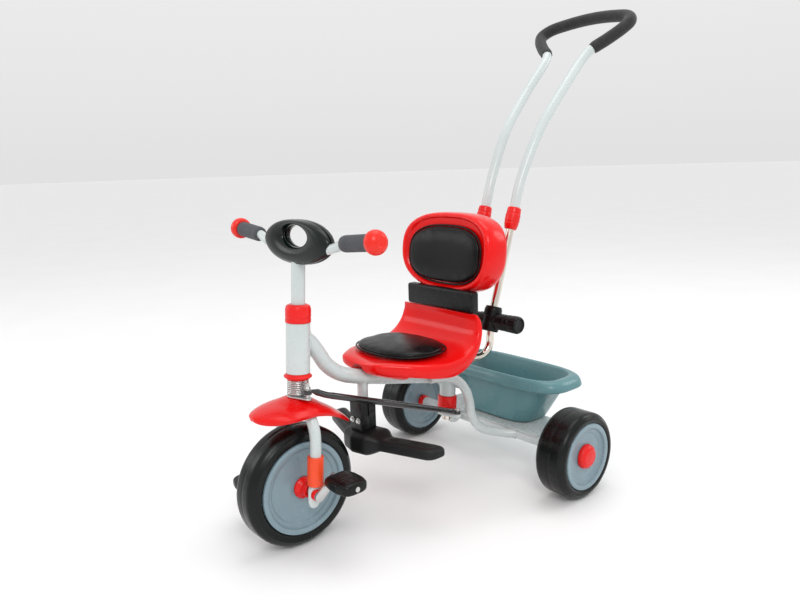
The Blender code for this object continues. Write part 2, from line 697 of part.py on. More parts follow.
# =====================================================================
#  HANDLEBAR
# =====================================================================
BAR_R = 0.0080
BAR_PATH = [(0.2000, 0.0030, 0.5450), (0.1500, 0.0022, 0.5410), (0.1260, 0.0016, 0.5380),
            (0.1080, 0.0008, 0.5310), (0.0780, 0.0, 0.5240), (0.0400, 0.0, 0.5145), (0.0, 0.0, 0.5110)]
BAR_PATH = BAR_PATH + [(-x, y, z) for x, y, z in reversed(BAR_PATH[:-1])]
bar_pts = [head_pt(*p) for p in BAR_PATH]
bar_sw = sweep(spline(bar_pts, 17), BAR_R, 10)
bar = make("handlebar", bar_sw, PAINT, origin=FO)
fuse(bar, transform(lathe([(0, 0.3010), (0.0079, 0.3010), (0.0079, 0.3800 + GAP), (STEM_R, 0.3800 + GAP),
                           (STEM_R, 0.5080), (0.0110, 0.5090), (0, 0.5090)]), HEAD))


EYE_A, EYE_B, EYE_Z = 0.0965, 0.0378, 0.5330      # half width, half height, height
HOLE_A, HOLE_B, HOLE_Z = 0.0380, 0.0185, 0.5430   # opening in the cover
EYE_T = 0.0160


def eye_point(a, r):
    """Point between the opening (r = 0) and the rim (r = 1), seen from the front."""
    c, s = math.cos(a), math.sin(a)
    xo = EYE_A * math.copysign(abs(c) ** 0.92, c)
    zo = EYE_Z + EYE_B * math.copysign(abs(s) ** 1.10, s)
    xi, zi = HOLE_A * c, HOLE_Z + HOLE_B * s
    return xi + (xo - xi) * r, zi + (zo - zi) * r


def eye(half, n=20):
    """Half of the eye shaped ring cover: half = -1 front, +1 back."""
    prof = [(1.0, 0.0), (0.98, 0.45), (0.80, 0.85), (0.45, 1.0), (0.12, 0.80), (0.0, 0.40), (0.0, 0.0)]
    verts, faces = [], []
    for r, h in prof:
        for k in range(n):
            a = 2 * math.pi * k / n
            x, z = eye_point(a, r)
            verts.append(head_pt(x, half * (0.0004 + EYE_T * h), z))
    m = len(prof)
    for i in range(m):
        for k in range(n):
            k2 = (k + 1) % n
            i2 = (i + 1) % m
            faces.append((i * n + k, i * n + k2, i2 * n + k2, i2 * n + k))
    return verts, faces


bar_clear = sweep(spline(bar_pts, 17), BAR_R + GAP, 10)
stem_clear = transform(lathe(disc_profile(STEM_R + GAP, 0.45, 0.5100)), HEAD)
for half, nm in ((-1, "front"), (1, "back")):
    c = make("handlebar_cover_" + nm, eye(half), BLACK, origin=FO)
    cut(c, bar_clear)
    cut(c, stem_clear)

for s, nm in ((1, "left"), (-1, "right")):
    g0, g1 = Vector(head_pt(s * 0.1255, 0.0016, 0.5380)), Vector(head_pt(s * 0.1930, 0.0029, 0.5444))
    d = (g1 - g0)
    L = d.length
    g = make("grip_" + nm, lathe([(0, 0), (0.0100, 0), (0.0130, 0.0030), (0.0135, 0.0080), (0.0135, L - 0.001),
                                  (0.0128, L), (0, L)], origin=g0, axis=d), GREY_GRIP, origin=FO)
    cut(g, bar_clear)
    # soft ball end
    e0 = g1 + d.normalized() * GAP
    cap = make("grip_end_" + nm, lathe([(0, 0), (0.0150, 0), (0.0183, 0.0018), (0.0196, 0.0070), (0.0190, 0.0130),
                                        (0.0160, 0.0185), (0.0110, 0.0222), (0.0050, 0.0240), (0, 0.0243)],
                                       origin=e0, axis=d), RED, origin=FO)
    cut(cap, bar_clear)

# =====================================================================
#  WHEELS
# =====================================================================
def wheel_lathe(profile, x, y, z, s=1, seg=WHEEL_SEG):
    return lathe(profile, seg=seg, origin=(x, y, z), axis=(s, 0, 0), phase=math.pi / seg)


# facets sit on the floor, so the apothem is the wheel radius
FK = 1.0 / math.cos(math.pi / WHEEL_SEG)
fo = (0, FRONT_Y, FRONT_Z)


def tyre_profile(R, w, ri, sh):
    """sh is how far the rounded shoulder reaches in from the side."""
    h = w / 2
    return [(ri, -h + 0.0020), (R - sh * 0.70, -h), (R, -h + sh * 0.80),
            (R, h - sh * 0.80), (R - sh * 0.70, h), (ri, h - 0.0020)]


def rim_profile(ri, h, bore, hub, dish):
    return [(bore, -h + dish), (ri - 0.0130, -h + dish), (ri - 0.0090, -h), (ri - GAP, -h),
            (ri - GAP, h), (ri - 0.0090, h), (ri - 0.0130, h - dish), (bore, h - dish)]


FR_I = 0.0830
FR_H, FR_D = 0.0310, 0.0100            # rim half width, depth of its dish
make("front_tyre", wheel_lathe([(r * FK if r > 0.09 else r, h) for r, h in tyre_profile(FRONT_R, FRONT_W, FR_I, 0.0190)],
                               *fo), BLACK_MATT, origin=fo)
make("front_rim", wheel_lathe(rim_profile(FR_I, FR_H, 0.0062 + GAP, 0.026, FR_D), *fo), DISC, origin=fo)
for s, nm in ((1, "left"), (-1, "right")):
    h = FR_H - FR_D + GAP
    make("front_hub_" + nm, lathe([(0.0065, h), (0.0185, h), (0.0195, h + 0.0010), (0.0190, h + 0.0045),
                                   (0.0140, h + 0.0085), (0.0120, h + 0.0210), (0.0112, h + 0.0220), (0.0065, h + 0.0220)],
                                  seg=SEG, origin=fo, axis=(s, 0, 0)), RED, origin=fo)

# axle with the two cranks, one bent and welded piece
CR = 0.0400
CR_A = math.radians(40.0)         # left crank points back and a little up
CRX = LEG_X + 0.0148
cr_dir = Vector((0, math.cos(CR_A), math.sin(CR_A)))
crank = make("crank_axle", lathe(disc_profile(0.0062, -CRX - 0.0055, CRX + 0.0055), seg=16, origin=fo, axis=(1, 0, 0)),
             STEEL, origin=fo)
for s in (1, -1):
    ring = []
    c0 = Vector(fo)
    c1 = Vector(fo) + cr_dir * (CR * s)
    up = Vector((0, -cr_dir.z, cr_dir.y))
    out = []
    for k in range(9):
        a = math.pi / 2 + math.pi * k / 8
        out.append(c0 + (cr_dir * s * math.cos(a) + up * math.sin(a)) * 0.0105)
    for k in range(9):
        a = -math.pi / 2 + math.pi * k / 8
        out.append(c1 + (cr_dir * s * math.cos(a) + up * math.sin(a)) * 0.0090)
    fuse(crank, loft([[p + Vector((s * CRX, 0, 0)) for p in out], [p + Vector((s * (CRX + 0.0055), 0, 0)) for p in out]]))
    fuse(crank, lathe(disc_profile(0.0045, CRX + 0.001, CRX + 0.0055 + 0.0650), seg=16, origin=c1, axis=(s, 0, 0)))
    nm = "left" if s > 0 else "right"
    px0, px1 = CRX + 0.0055 + 0.0020, CRX + 0.0055 + 0.0630
    py, pz = c1.y, c1.z
    xa, xb = sorted((s * px0, s * px1))
    secs = []
    for q in (0.0, 0.12, 0.35, 0.65, 0.88, 1.0):
        x = xa + (xb - xa) * q
        e = 1.0 if 0.1 < q < 0.9 else 0.86
        secs.append([(x, py + u * e, pz + v * e) for u, v in superellipse(0.0290, 0.0110, 3.2, 16)])
    pd = make("pedal_" + nm, loft(secs), BLACK, origin=(s * (CRX + 0.02), py, pz))
    cut(pd, lathe(disc_profile(0.0045 + GAP, CRX, CRX + 0.0055 + 0.0650 + 0.0010), seg=16, origin=c1, axis=(s, 0, 0)))

RR_I = 0.0665
RR_H, RR_D = 0.0345, 0.0100
for s, nm in ((1, "left"), (-1, "right")):
    ro = (s * REAR_X, 0, AXLE_Z)
    make("rear_tyre_" + nm, wheel_lathe([(r * FK if r > 0.07 else r, h) for r, h in tyre_profile(REAR_R, REAR_W, RR_I, 0.0190)],
                                        *ro, s=s), BLACK_MATT, origin=ro)
    rim = make("rear_rim_" + nm, wheel_lathe(rim_profile(RR_I, RR_H, AXLE_R + GAP, 0.024, RR_D), *ro, s=s), DISC, origin=ro)
    h = RR_H - RR_D + GAP
    make("rear_hub_cap_" + nm, lathe([(0, 0.0375), (0.0065, 0.0375), (0.0065, h), (0.0235, h), (0.0245, h + 0.0012),
                                      (0.0238, h + 0.0060), (0.0190, h + 0.0122), (0.0105, h + 0.0150), (0, h + 0.0153)],
                                     seg=SEG, origin=ro, axis=(s, 0, 0)), RED, origin=ro)
    # red spacer between frame tube and wheel
    make("axle_spacer_" + nm, lathe([(AXLE_R + GAP, 0.1933), (0.0130, 0.1933), (0.0140, 0.1943), (0.0140, 0.2050),
                                     (0.0130, 0.2060 + 0.0005), (AXLE_R + GAP, 0.2065)], seg=16,
                                    origin=(0, 0, AXLE_Z), axis=(s, 0, 0)), RED)

# =====================================================================
#  PARENT STEERING: post, push handle, rod
# =====================================================================
PO = POST_O
lean = Vector((0, math.sin(PUSH_LEAN), math.cos(PUSH_LEAN)))


def push_line(x, z):
    """Point on the straight lower part of the push tube at height z."""
    return Vector((x, -0.028 + (z - 0.320) * math.tan(PUSH_LEAN), z))


TOP_Z = 0.5920
low_path = [push_line(PUSH_X, TOP_Z), push_line(PUSH_X, 0.50), push_line(PUSH_X, 0.40), push_line(PUSH_X, 0.330),
            (PUSH_X, -0.0290, 0.300), (PUSH_X, -0.0320, 0.2760), (PUSH_X - 0.0015, -0.0470, 0.2595),
            (0.0330, -0.0780, 0.2550), (0.0160, -0.1040, 0.2545), (0.0, -0.1112, 0.2545)]
low_path = [Vector(p) for p in low_path]
full = low_path + [Vector((-p.x, p.y, p.z)) for p in reversed(low_path[:-1])]
low = make("push_tube_lower", sweep(spline(full, 25), PUSH_LOW_R, 10), CHROME, origin=PO)
fuse(low, transform(lathe(disc_profile(0.0100, 0.1270, 0.2600)), POST))

# crank plate at the foot of the post
cp = make("steering_crank", transform(plate(teardrop(0.0190, 0.0085, ARM, 10), 0.1385, 0.1450), POST), PAINT, origin=PO)
cut(cp, transform(lathe(disc_profile(0.0100 + GAP, 0.12, 0.20)), POST))
cut(cp, transform(lathe(disc_profile(0.0030 + GAP, 0.12, 0.20), seg=16, origin=(ARM, 0, 0)), POST))

# black yoke across the two tubes, with a hand knob on its left end
YK = push_line(0, 0.3280)
yoke = make("push_yoke", lathe(disc_profile(0.0150, -0.0640, 0.0830, 0.003), seg=16, origin=YK, axis=(1, 0, 0)),
            BLACK, origin=PO)
for s in (1, -1):
    a, b = push_line(s * PUSH_X, 0.3060), push_line(s * PUSH_X, 0.3560)
    fuse(yoke, lathe([(0, 0), (0.0165, 0), (0.0185, 0.002), (0.0185, 0.045), (0.0160, 0.0525), (0, 0.0525)],
                     seg=16, origin=a, axis=(b - a)))
cut(yoke, sweep(spline(full, 25), PUSH_LOW_R + GAP, 10))
cut(yoke, lathe(disc_profile(0.0040, 0.0600, 0.0900, 0.0003), seg=16, origin=YK, axis=(1, 0, 0)))
KO = YK + Vector((0.0850, 0, 0))
make("yoke_knob", lathe([(0, -0.0220), (0.0036, -0.0220), (0.0036, -0.0017), (0.0150, -0.0017), (0.0172, 0.0010), (0.0172, 0.0090),
                         (0.0160, 0.0110), (0.0166, 0.0150), (0.0166, 0.0270), (0.0145, 0.0310), (0, 0.0320)],
                        seg=16, origin=KO, axis=(1, 0, 0)), BLACK, origin=KO)

# upper handle: slides over the lower tubes
UP0 = 0.5400
up_half = [push_line(PUSH_X, UP0), push_line(PUSH_X, 0.602), (0.0420, 0.0790, 0.6370), (0.0465, 0.1225, 0.7150),
           (0.0500, 0.1970, 0.8010), (0.0540, 0.2720, 0.8760), (0.0620, 0.2850, 0.8880), (0.0860, 0.3020, 0.9050),
           (0.1110, 0.3240, 0.9270), (0.1180, 0.3390, 0.9410), (0.1040, 0.3540, 0.9540), (0.0600, 0.3650, 0.9630),
           (0.0, 0.3700, 0.9670)]
up_half = [Vector(p) for p in up_half]
HO = push_line(0, UP0)
up_full = up_half + [Vector((-p.x, p.y, p.z)) for p in reversed(up_half[:-1])]
up_pts = spline(up_full, 31)
upper = make("push_tube_upper", sweep(up_pts, PUSH_R, 10), PAINT, origin=HO)
for s in (1, -1):
    a = push_line(s * PUSH_X, UP0 - 0.01)
    b = push_line(s * PUSH_X, TOP_Z + 0.0005)
    cut(upper, sweep([a, b], PUSH_LOW_R + GAP, 12))
# foam sleeve: the loop above the straight tubes
gi = [i for i, p in enumerate(up_pts) if p.z > 0.8860]
gpts = up_pts[gi[0]:gi[-1] + 1]
foam = make("push_grip", sweep(gpts, 0.0118 + 0.0022, 10), BLACK_MATT, origin=HO)
for s, nm in ((1, "left"), (-1, "right")):
    a = push_line(s * PUSH_X, 0.5120)
    cl = push_line(s * PUSH_X, UP0 + 0.0160) - a
    L = cl.length
    col = make("push_collar_" + nm, lathe([(PUSH_LOW_R + GAP, 0), (0.0115, 0), (0.0128, 0.002), (0.0150, 0.012),
                                           (0.0155, L - 0.012), (0.0140, L - 0.002), (0.0130, L), (PUSH_R + 0.0005, L),
                                           (PUSH_R + 0.0005, L - 0.0185), (PUSH_LOW_R + GAP, L - 0.0185)],
                                          seg=16, origin=a, axis=cl), RED, origin=PO)
cut(foam, sweep(up_pts, PUSH_R + GAP, 10))

# rod from the rear crank to the arm on the fork
RO = post_pt(ARM, 0, 0.1480)
rz0, rz1 = 0.1490, 0.2790
f_end = head_pt(ARM, 0, rz1)
r_end = post_pt(ARM, 0, rz0)
ra = Vector(r_end)
rb = Vector(f_end)
rod_pts = [ra + Vector((0, -0.0040, 0)), ra + Vector((0, -0.018, 0.0030)), ra.lerp(rb, 0.12), ra.lerp(rb, 0.50),
           ra.lerp(rb, 0.90), rb + Vector((0, 0.018, -0.0030)), rb + Vector((0, 0.0040, 0))]
rod = make("steering_rod", sweep(spline(rod_pts, 11), [0.0032, 0.0046] + [0.0058] * 7 + [0.0046, 0.0032], 8), BLACK, origin=RO)
fuse(rod, transform(lathe(disc_profile(0.0072, rz0 - 0.0035, rz0 + 0.0035, 0.001), seg=12, origin=(ARM, 0, 0)), POST))
fuse(rod, transform(lathe(disc_profile(0.0072, rz1 - 0.0035, rz1 + 0.0035, 0.001), seg=12, origin=(ARM, 0, 0)), HEAD))
cut(rod, transform(lathe(disc_profile(0.0030 + GAP, 0.13, 0.17), seg=16, origin=(ARM, 0, 0)), POST))
cut(rod, transform(lathe(disc_profile(0.0030 + 0.0006, 0.26, 0.29), seg=16, origin=(ARM, 0, 0)), HEAD))
make("rod_bolt", transform(lathe([(0, 0.1350), (0.0030, 0.1350), (0.0030, rz0 + 0.0038), (0.0058, rz0 + 0.0038),
                                  (0.0058, rz0 + 0.0068), (0.0045, rz0 + 0.0078), (0, rz0 + 0.0080)], seg=16,
                                 origin=(ARM, 0, 0)), POST), STEEL, origin=RO)
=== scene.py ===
import math
import bpy
import bmesh
from mathutils import Vector, Matrix


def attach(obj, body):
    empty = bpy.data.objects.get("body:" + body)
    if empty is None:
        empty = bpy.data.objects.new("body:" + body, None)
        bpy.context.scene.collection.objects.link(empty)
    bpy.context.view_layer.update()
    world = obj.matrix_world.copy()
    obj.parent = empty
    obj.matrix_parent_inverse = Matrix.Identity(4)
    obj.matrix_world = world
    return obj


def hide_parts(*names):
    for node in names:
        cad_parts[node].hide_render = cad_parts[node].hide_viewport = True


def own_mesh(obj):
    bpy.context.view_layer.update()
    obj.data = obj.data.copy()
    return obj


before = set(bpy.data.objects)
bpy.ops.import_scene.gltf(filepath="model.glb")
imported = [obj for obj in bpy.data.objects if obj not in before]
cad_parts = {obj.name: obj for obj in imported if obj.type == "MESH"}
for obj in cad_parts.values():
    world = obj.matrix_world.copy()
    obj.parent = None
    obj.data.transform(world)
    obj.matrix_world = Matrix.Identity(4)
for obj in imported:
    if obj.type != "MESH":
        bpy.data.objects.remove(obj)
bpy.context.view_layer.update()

YS = 0.1089                       # rear axle line in the row frame
SH = Vector((0, YS, 0))

# ----------------------------------------------------------------------------
#  numbers shared with the CAD, all written with the rear axle at y = 0
# ----------------------------------------------------------------------------
RAKE = math.radians(4.05)
HEAD_Y0, POST_Y0 = -0.4988, -0.1300
HEAD = Matrix.Translation((0, HEAD_Y0, 0)) @ Matrix.Rotation(-RAKE, 4, 'X')
POST = Matrix.Translation((0, POST_Y0, 0)) @ Matrix.Rotation(-RAKE, 4, 'X')
S_AX = Vector((0, math.sin(RAKE), math.cos(RAKE)))
ARM = 0.030
PUSH_X, PUSH_LEAN, PUSH_R, PUSH_LOW_R = 0.0405, math.radians(18.0), 0.0105, 0.0080
REAR_R, REAR_W, REAR_X = 0.086, 0.068, 0.233
FRONT_R, FRONT_W, FRONT_Y = 0.1078, 0.058, -0.494
FRONT_Z = FRONT_R
AXLE_Z = REAR_R


def head_pt(x, y, z):
    return HEAD @ Vector((x, y, z))


def post_pt(x, y, z):
    return POST @ Vector((x, y, z))


# ----------------------------------------------------------------------------
#  geometry helpers
# ----------------------------------------------------------------------------
def spline(pts, n):
    P = [Vector(p) for p in pts]
    P = [P[0] * 2 - P[1]] + P + [P[-1] * 2 - P[-2]]
    segs = len(P) - 3
    lens = [(P[i + 2] - P[i + 1]).length for i in range(segs)]
    total = sum(lens)
    out = []
    for k in range(n):
        d = total * k / (n - 1)
        i = 0
        while i < segs - 1 and d > lens[i]:
            d -= lens[i]
            i += 1
        t = min(1.0, d / lens[i])
        p0, p1, p2, p3 = P[i], P[i + 1], P[i + 2], P[i + 3]
        d01 = max((p1 - p0).length, 1e-9) ** 0.5
        d12 = max((p2 - p1).length, 1e-9) ** 0.5
        d23 = max((p3 - p2).length, 1e-9) ** 0.5
        m1 = (p2 - p1) + ((p1 - p0) / d01 - (p2 - p0) / (d01 + d12)) * d12
        m2 = (p2 - p1) + ((p3 - p2) / d23 - (p3 - p1) / (d12 + d23)) * d12
        t2, t3 = t * t, t * t * t
        out.append(p1 * (2 * t3 - 3 * t2 + 1) + m1 * (t3 - 2 * t2 + t)
                   + p2 * (-2 * t3 + 3 * t2) + m2 * (t3 - t2))
    return out


def sweep(path, radius, seg=32, side=Vector((1, 0, 0)), closed=False, flat=1.0):
    """Round bar along path; flat squeezes the section along its second axis."""
    P = [Vector(p) for p in path]
    n = len(P)
    R = radius if isinstance(radius, (list, tuple)) else [radius] * n
    verts, faces = [], []
    prev = None
    for i, p in enumerate(P):
        if closed:
            t = (P[(i + 1) % n] - p).normalized() + (p - P[i - 1]).normalized()
        elif i == 0:
            t = P[1] - P[0]
        elif i == n - 1:
            t = P[-1] - P[-2]
        else:
            t = (P[i + 1] - p).normalized() + (p - P[i - 1]).normalized()
        t.normalize()
        u = side if (prev is None or closed) else prev
        u = u - t * u.dot(t)
        if u.length < 1e-4:
            u = Vector((0, 0, 1)) - t * t.z
            if u.length < 1e-4:
                u = Vector((0, 1, 0)) - t * t.y
        u.normalize()
        prev = u
        v = t.cross(u)
        for k in range(seg):
            a = 2 * math.pi * k / seg
            verts.append(p + (u * math.cos(a) + v * math.sin(a) * flat) * R[i])
    last = n if closed else n - 1
    for i in range(last):
        j = (i + 1) % n
        for k in range(seg):
            k2 = (k + 1) % seg
            faces.append((i * seg + k, i * seg + k2, j * seg + k2, j * seg + k))
    if not closed:
        faces.append(tuple(reversed(range(seg))))
        faces.append(tuple(range((n - 1) * seg, n * seg)))
    return verts, faces


def rounded(profile, r, n=4, loop=True):
    """The profile with each corner replaced by a small curve of reach r."""
    P = [Vector((a, b)) for a, b in profile]
    m = len(P)
    out = []
    for i, p in enumerate(P):
        if not loop and i in (0, m - 1):
            out.append(tuple(p))
            continue
        a, b = P[i - 1], P[(i + 1) % m]
        la, lb = (a - p).length, (b - p).length
        d = min(r, la * 0.45, lb * 0.45)
        if d < 1e-6:
            out.append(tuple(p))
            continue
        p0, p1 = p + (a - p) / la * d, p + (b - p) / lb * d
        for k in range(n + 1):
            t = k / n
            q = p0 * (1 - t) ** 2 + p * 2 * t * (1 - t) + p1 * t * t
            out.append(tuple(q))
    return out


def lathe(profile, seg=64, origin=(0, 0, 0), axis=(0, 0, 1), rnd=0.0, loop=None, nr=4, phase=0.0):
    open_line = profile[0][0] < 1e-9 and profile[-1][0] < 1e-9
    if rnd > 0:
        profile = rounded(profile, rnd, nr, loop=not open_line)
    O = Vector(origin)
    A = Vector(axis).normalized()
    U = Vector((0, 0, 1)) if abs(A.z) < 0.9 else Vector((1, 0, 0))
    U = (U - A * U.dot(A)).normalized()
    W = A.cross(U)
    verts, rings = [], []
    for r, h in profile:
        if r < 1e-9:
            rings.append([len(verts)])
            verts.append(O + A * h)
        else:
            ring = []
            for k in range(seg):
                a = 2 * math.pi * k / seg + phase
                ring.append(len(verts))
                verts.append(O + A * h + (U * math.cos(a) + W * math.sin(a)) * r)
            rings.append(ring)
    faces = []
    m = len(rings)
    for i in range(m if not open_line else m - 1):
        a, b = rings[i], rings[(i + 1) % m]
        if len(a) == 1 and len(b) == 1:
            continue
        for k in range(seg):
            k2 = (k + 1) % seg
            if len(a) == 1:
                faces.append((a[0], b[k2], b[k]))
            elif len(b) == 1:
                faces.append((a[k], a[k2], b[0]))
            else:
                faces.append((a[k], a[k2], b[k2], b[k]))
    return verts, faces


def plug(r, h0, h1):
    return [(0, h0), (r, h0), (r, h1), (0, h1)]


def tube(ri, ro, h0, h1):
    return [(ri, h0), (ro, h0), (ro, h1), (ri, h1)]


def loft(sections, closed=False, caps=True):
    verts, faces = [], []
    n = len(sections[0])
    for s in sections:
        verts.extend(Vector(p) for p in s)
    m = len(sections)
    for i in range(m if closed else m - 1):
        j = (i + 1) % m
        for k in range(n):
            k2 = (k + 1) % n
            faces.append((i * n + k, i * n + k2, j * n + k2, j * n + k))
    if caps and not closed:
        faces.append(tuple(reversed(range(n))))
        faces.append(tuple(range((m - 1) * n, m * n)))
    return verts, faces


def superellipse(a, b, p, n):
    out = []
    for k in range(n):
        t = 2 * math.pi * k / n
        c, s = math.cos(t), math.sin(t)
        out.append((a * math.copysign(abs(c) ** (2 / p), c),
                    b * math.copysign(abs(s) ** (2 / p), s)))
    return out


def even(outline, n):
    """The closed outline again with n evenly spaced points."""
    P = [Vector(q) for q in outline]
    L = [0.0]
    for i in range(len(P)):
        L.append(L[-1] + (P[(i + 1) % len(P)] - P[i]).length)
    out = []
    j = 0
    for k in range(n):
        d = L[-1] * k / n
        while L[j + 1] < d:
            j += 1
        t = (d - L[j]) / max(1e-12, L[j + 1] - L[j])
        out.append(P[j].lerp(P[(j + 1) % len(P)], t))
    return out


def box_mesh(x0, x1, y0, y1, z0, z1):
    v = [Vector((x, y, z)) for z in (z0, z1) for y in (y0, y1) for x in (x0, x1)]
    f = [(0, 2, 3, 1), (4, 5, 7, 6), (0, 1, 5, 4), (2, 6, 7, 3), (0, 4, 6, 2), (1, 3, 7, 5)]
    return v, f


def teardrop(r0, r1, dx, n=24):
    a0 = math.acos((r0 - r1) / dx)
    out = []
    for k in range(n + 1):
        a = a0 + (2 * math.pi - 2 * a0) * k / n
        out.append((r0 * math.cos(a), r0 * math.sin(a)))
    for k in range(n + 1):
        a = -a0 + 2 * a0 * k / n
        out.append((dx + r1 * math.cos(a), r1 * math.sin(a)))
    return out


def plate(outline, z0, z1):
    return loft([[(x, y, z0) for x, y in outline], [(x, y, z1) for x, y in outline]])


def transform(vf, m):
    return [m @ Vector(p) for p in vf[0]], vf[1]


def join(*parts):
    v, f = [], []
    for pv, pf in parts:
        o = len(v)
        v.extend(pv)
        f.extend(tuple(i + o for i in q) for q in pf)
    return v, f


def to_mesh(name, vf, sharp=38.0, weld=0.000005):
    me = bpy.data.meshes.new(name)
    bm = bmesh.new()
    vs = [bm.verts.new(Vector(p) + SH) for p in vf[0]]
    for q in vf[1]:
        try:
            bm.faces.new([vs[i] for i in q])
        except ValueError:
            pass
    bmesh.ops.remove_doubles(bm, verts=bm.verts, dist=weld)
    bmesh.ops.recalc_face_normals(bm, faces=bm.faces)
    finish_bm(bm, sharp)
    bm.to_mesh(me)
    bm.free()
    return me


def finish_bm(bm, sharp):
    for fc in bm.faces:
        fc.smooth = True
    for e in bm.edges:
        if len(e.link_faces) == 2:
            e.smooth = e.calc_face_angle(0.0) < math.radians(sharp)


def new_object(name, vf, sharp=38.0):
    ob = bpy.data.objects.new(name, to_mesh(name, vf, sharp))
    bpy.context.scene.collection.objects.link(ob)
    return ob


def boolean(ob, vf, op='DIFFERENCE', sharp=38.0):
    tool = new_object("tool_tmp", vf)
    mod = ob.modifiers.new("b", 'BOOLEAN')
    mod.operation = op
    mod.solver = 'EXACT'
    mod.object = tool
    bpy.context.view_layer.update()
    dg = bpy.context.evaluated_depsgraph_get()
    me = bpy.data.meshes.new_from_object(ob.evaluated_get(dg))
    ob.modifiers.clear()
    ob.data = me
    bpy.data.objects.remove(tool, do_unlink=True)
    bm = bmesh.new()
    bm.from_mesh(me)
    bmesh.ops.dissolve_degenerate(bm, edges=bm.edges, dist=0.000005)
    finish_bm(bm, sharp)
    bm.to_mesh(me)
    bm.free()
    return ob


def bevel(ob, width, segs=3, angle=35.0):
    m = ob.modifiers.new("soft_edges", 'BEVEL')
    m.width = width
    m.segments = segs
    m.limit_method = 'ANGLE'
    m.angle_limit = math.radians(angle)
    m.harden_normals = False
    return ob


def apply_all(ob, sharp=45.0):
    bpy.context.view_layer.update()
    dg = bpy.context.evaluated_depsgraph_get()
    me = bpy.data.meshes.new_from_object(ob.evaluated_get(dg))
    ob.modifiers.clear()
    ob.data = me
    bm = bmesh.new()
    bm.from_mesh(me)
    finish_bm(bm, sharp)
    bm.to_mesh(me)
    bm.free()
    return ob


# ----------------------------------------------------------------------------
#  materials
# ----------------------------------------------------------------------------
def shader(name, metallic=0.0, coat=0.0, coat_rough=0.08, ior=1.5, sheen=0.0, spec=0.5):
    m = bpy.data.materials.new(name)
    m.use_nodes = True
    nt = m.node_tree
    p = nt.nodes.get("Principled BSDF")
    p.inputs["Metallic"].default_value = metallic
    p.inputs["Coat Weight"].default_value = coat
    p.inputs["Coat Roughness"].default_value = coat_rough
    p.inputs["IOR"].default_value = ior
    p.inputs["Sheen Weight"].default_value = sheen
    p.inputs["Specular IOR Level"].default_value = spec
    tc = nt.nodes.new("ShaderNodeTexCoord")
    return m, nt, p, tc.outputs["Object"]


def noise(nt, vec, scale, detail=4.0, rough=0.55, dist=0.0):
    n = nt.nodes.new("ShaderNodeTexNoise")
    n.inputs["Scale"].default_value = scale
    n.inputs["Detail"].default_value = detail
    n.inputs["Roughness"].default_value = rough
    n.inputs["Distortion"].default_value = dist
    nt.links.new(vec, n.inputs["Vector"])
    return n.outputs["Fac"]


def stretch(nt, vec, sx, sy, sz, rot=(0, 0, 0)):
    m = nt.nodes.new("ShaderNodeMapping")
    m.inputs["Scale"].default_value = (sx, sy, sz)
    m.inputs["Rotation"].default_value = rot
    nt.links.new(vec, m.inputs["Vector"])
    return m.outputs["Vector"]


def ramp(nt, fac, stops):
    r = nt.nodes.new("ShaderNodeValToRGB")
    el = r.color_ramp.elements
    while len(el) < len(stops):
        el.new(0.5)
    for e, (pos, col) in zip(el, stops):
        e.position = pos
        e.color = (col, col, col, 1) if isinstance(col, (int, float)) else (col[0], col[1], col[2], 1)
    nt.links.new(fac, r.inputs["Fac"])
    return r.outputs["Color"]


def mix(nt, fac, a, b, mode='MIX'):
    m = nt.nodes.new("ShaderNodeMix")
    m.data_type = 'RGBA'
    m.blend_type = mode
    for v, i in ((a, 6), (b, 7)):
        if isinstance(v, tuple):
            m.inputs[i].default_value = (v[0], v[1], v[2], 1)
        else:
            nt.links.new(v, m.inputs[i])
    if isinstance(fac, float):
        m.inputs[0].default_value = fac
    else:
        nt.links.new(fac, m.inputs[0])
    return m.outputs[2]


def math_node(nt, op, a, b=None):
    m = nt.nodes.new("ShaderNodeMath")
    m.operation = op
    for v, i in ((a, 0), (b, 1)):
        if v is None:
            continue
        if isinstance(v, (int, float)):
            m.inputs[i].default_value = v
        else:
            nt.links.new(v, m.inputs[i])
    return m.outputs[0]


def bump(nt, p, height, strength, distance, prev=None):
    b = nt.nodes.new("ShaderNodeBump")
    b.inputs["Strength"].default_value = strength
    b.inputs["Distance"].default_value = distance
    nt.links.new(height, b.inputs["Height"])
    if prev is not None:
        nt.links.new(prev, b.inputs["Normal"])
    nt.links.new(b.outputs["Normal"], p.inputs["Normal"])
    return b.outputs["Normal"]


def edge_mask(nt, lo=0.52, hi=0.60):
    g = nt.nodes.new("ShaderNodeNewGeometry")
    return ramp(nt, g.outputs["Pointiness"], [(lo, 0.0), (hi, 1.0)])


def tint(rgb, k):
    return tuple(min(1.0, c * k) for c in rgb)


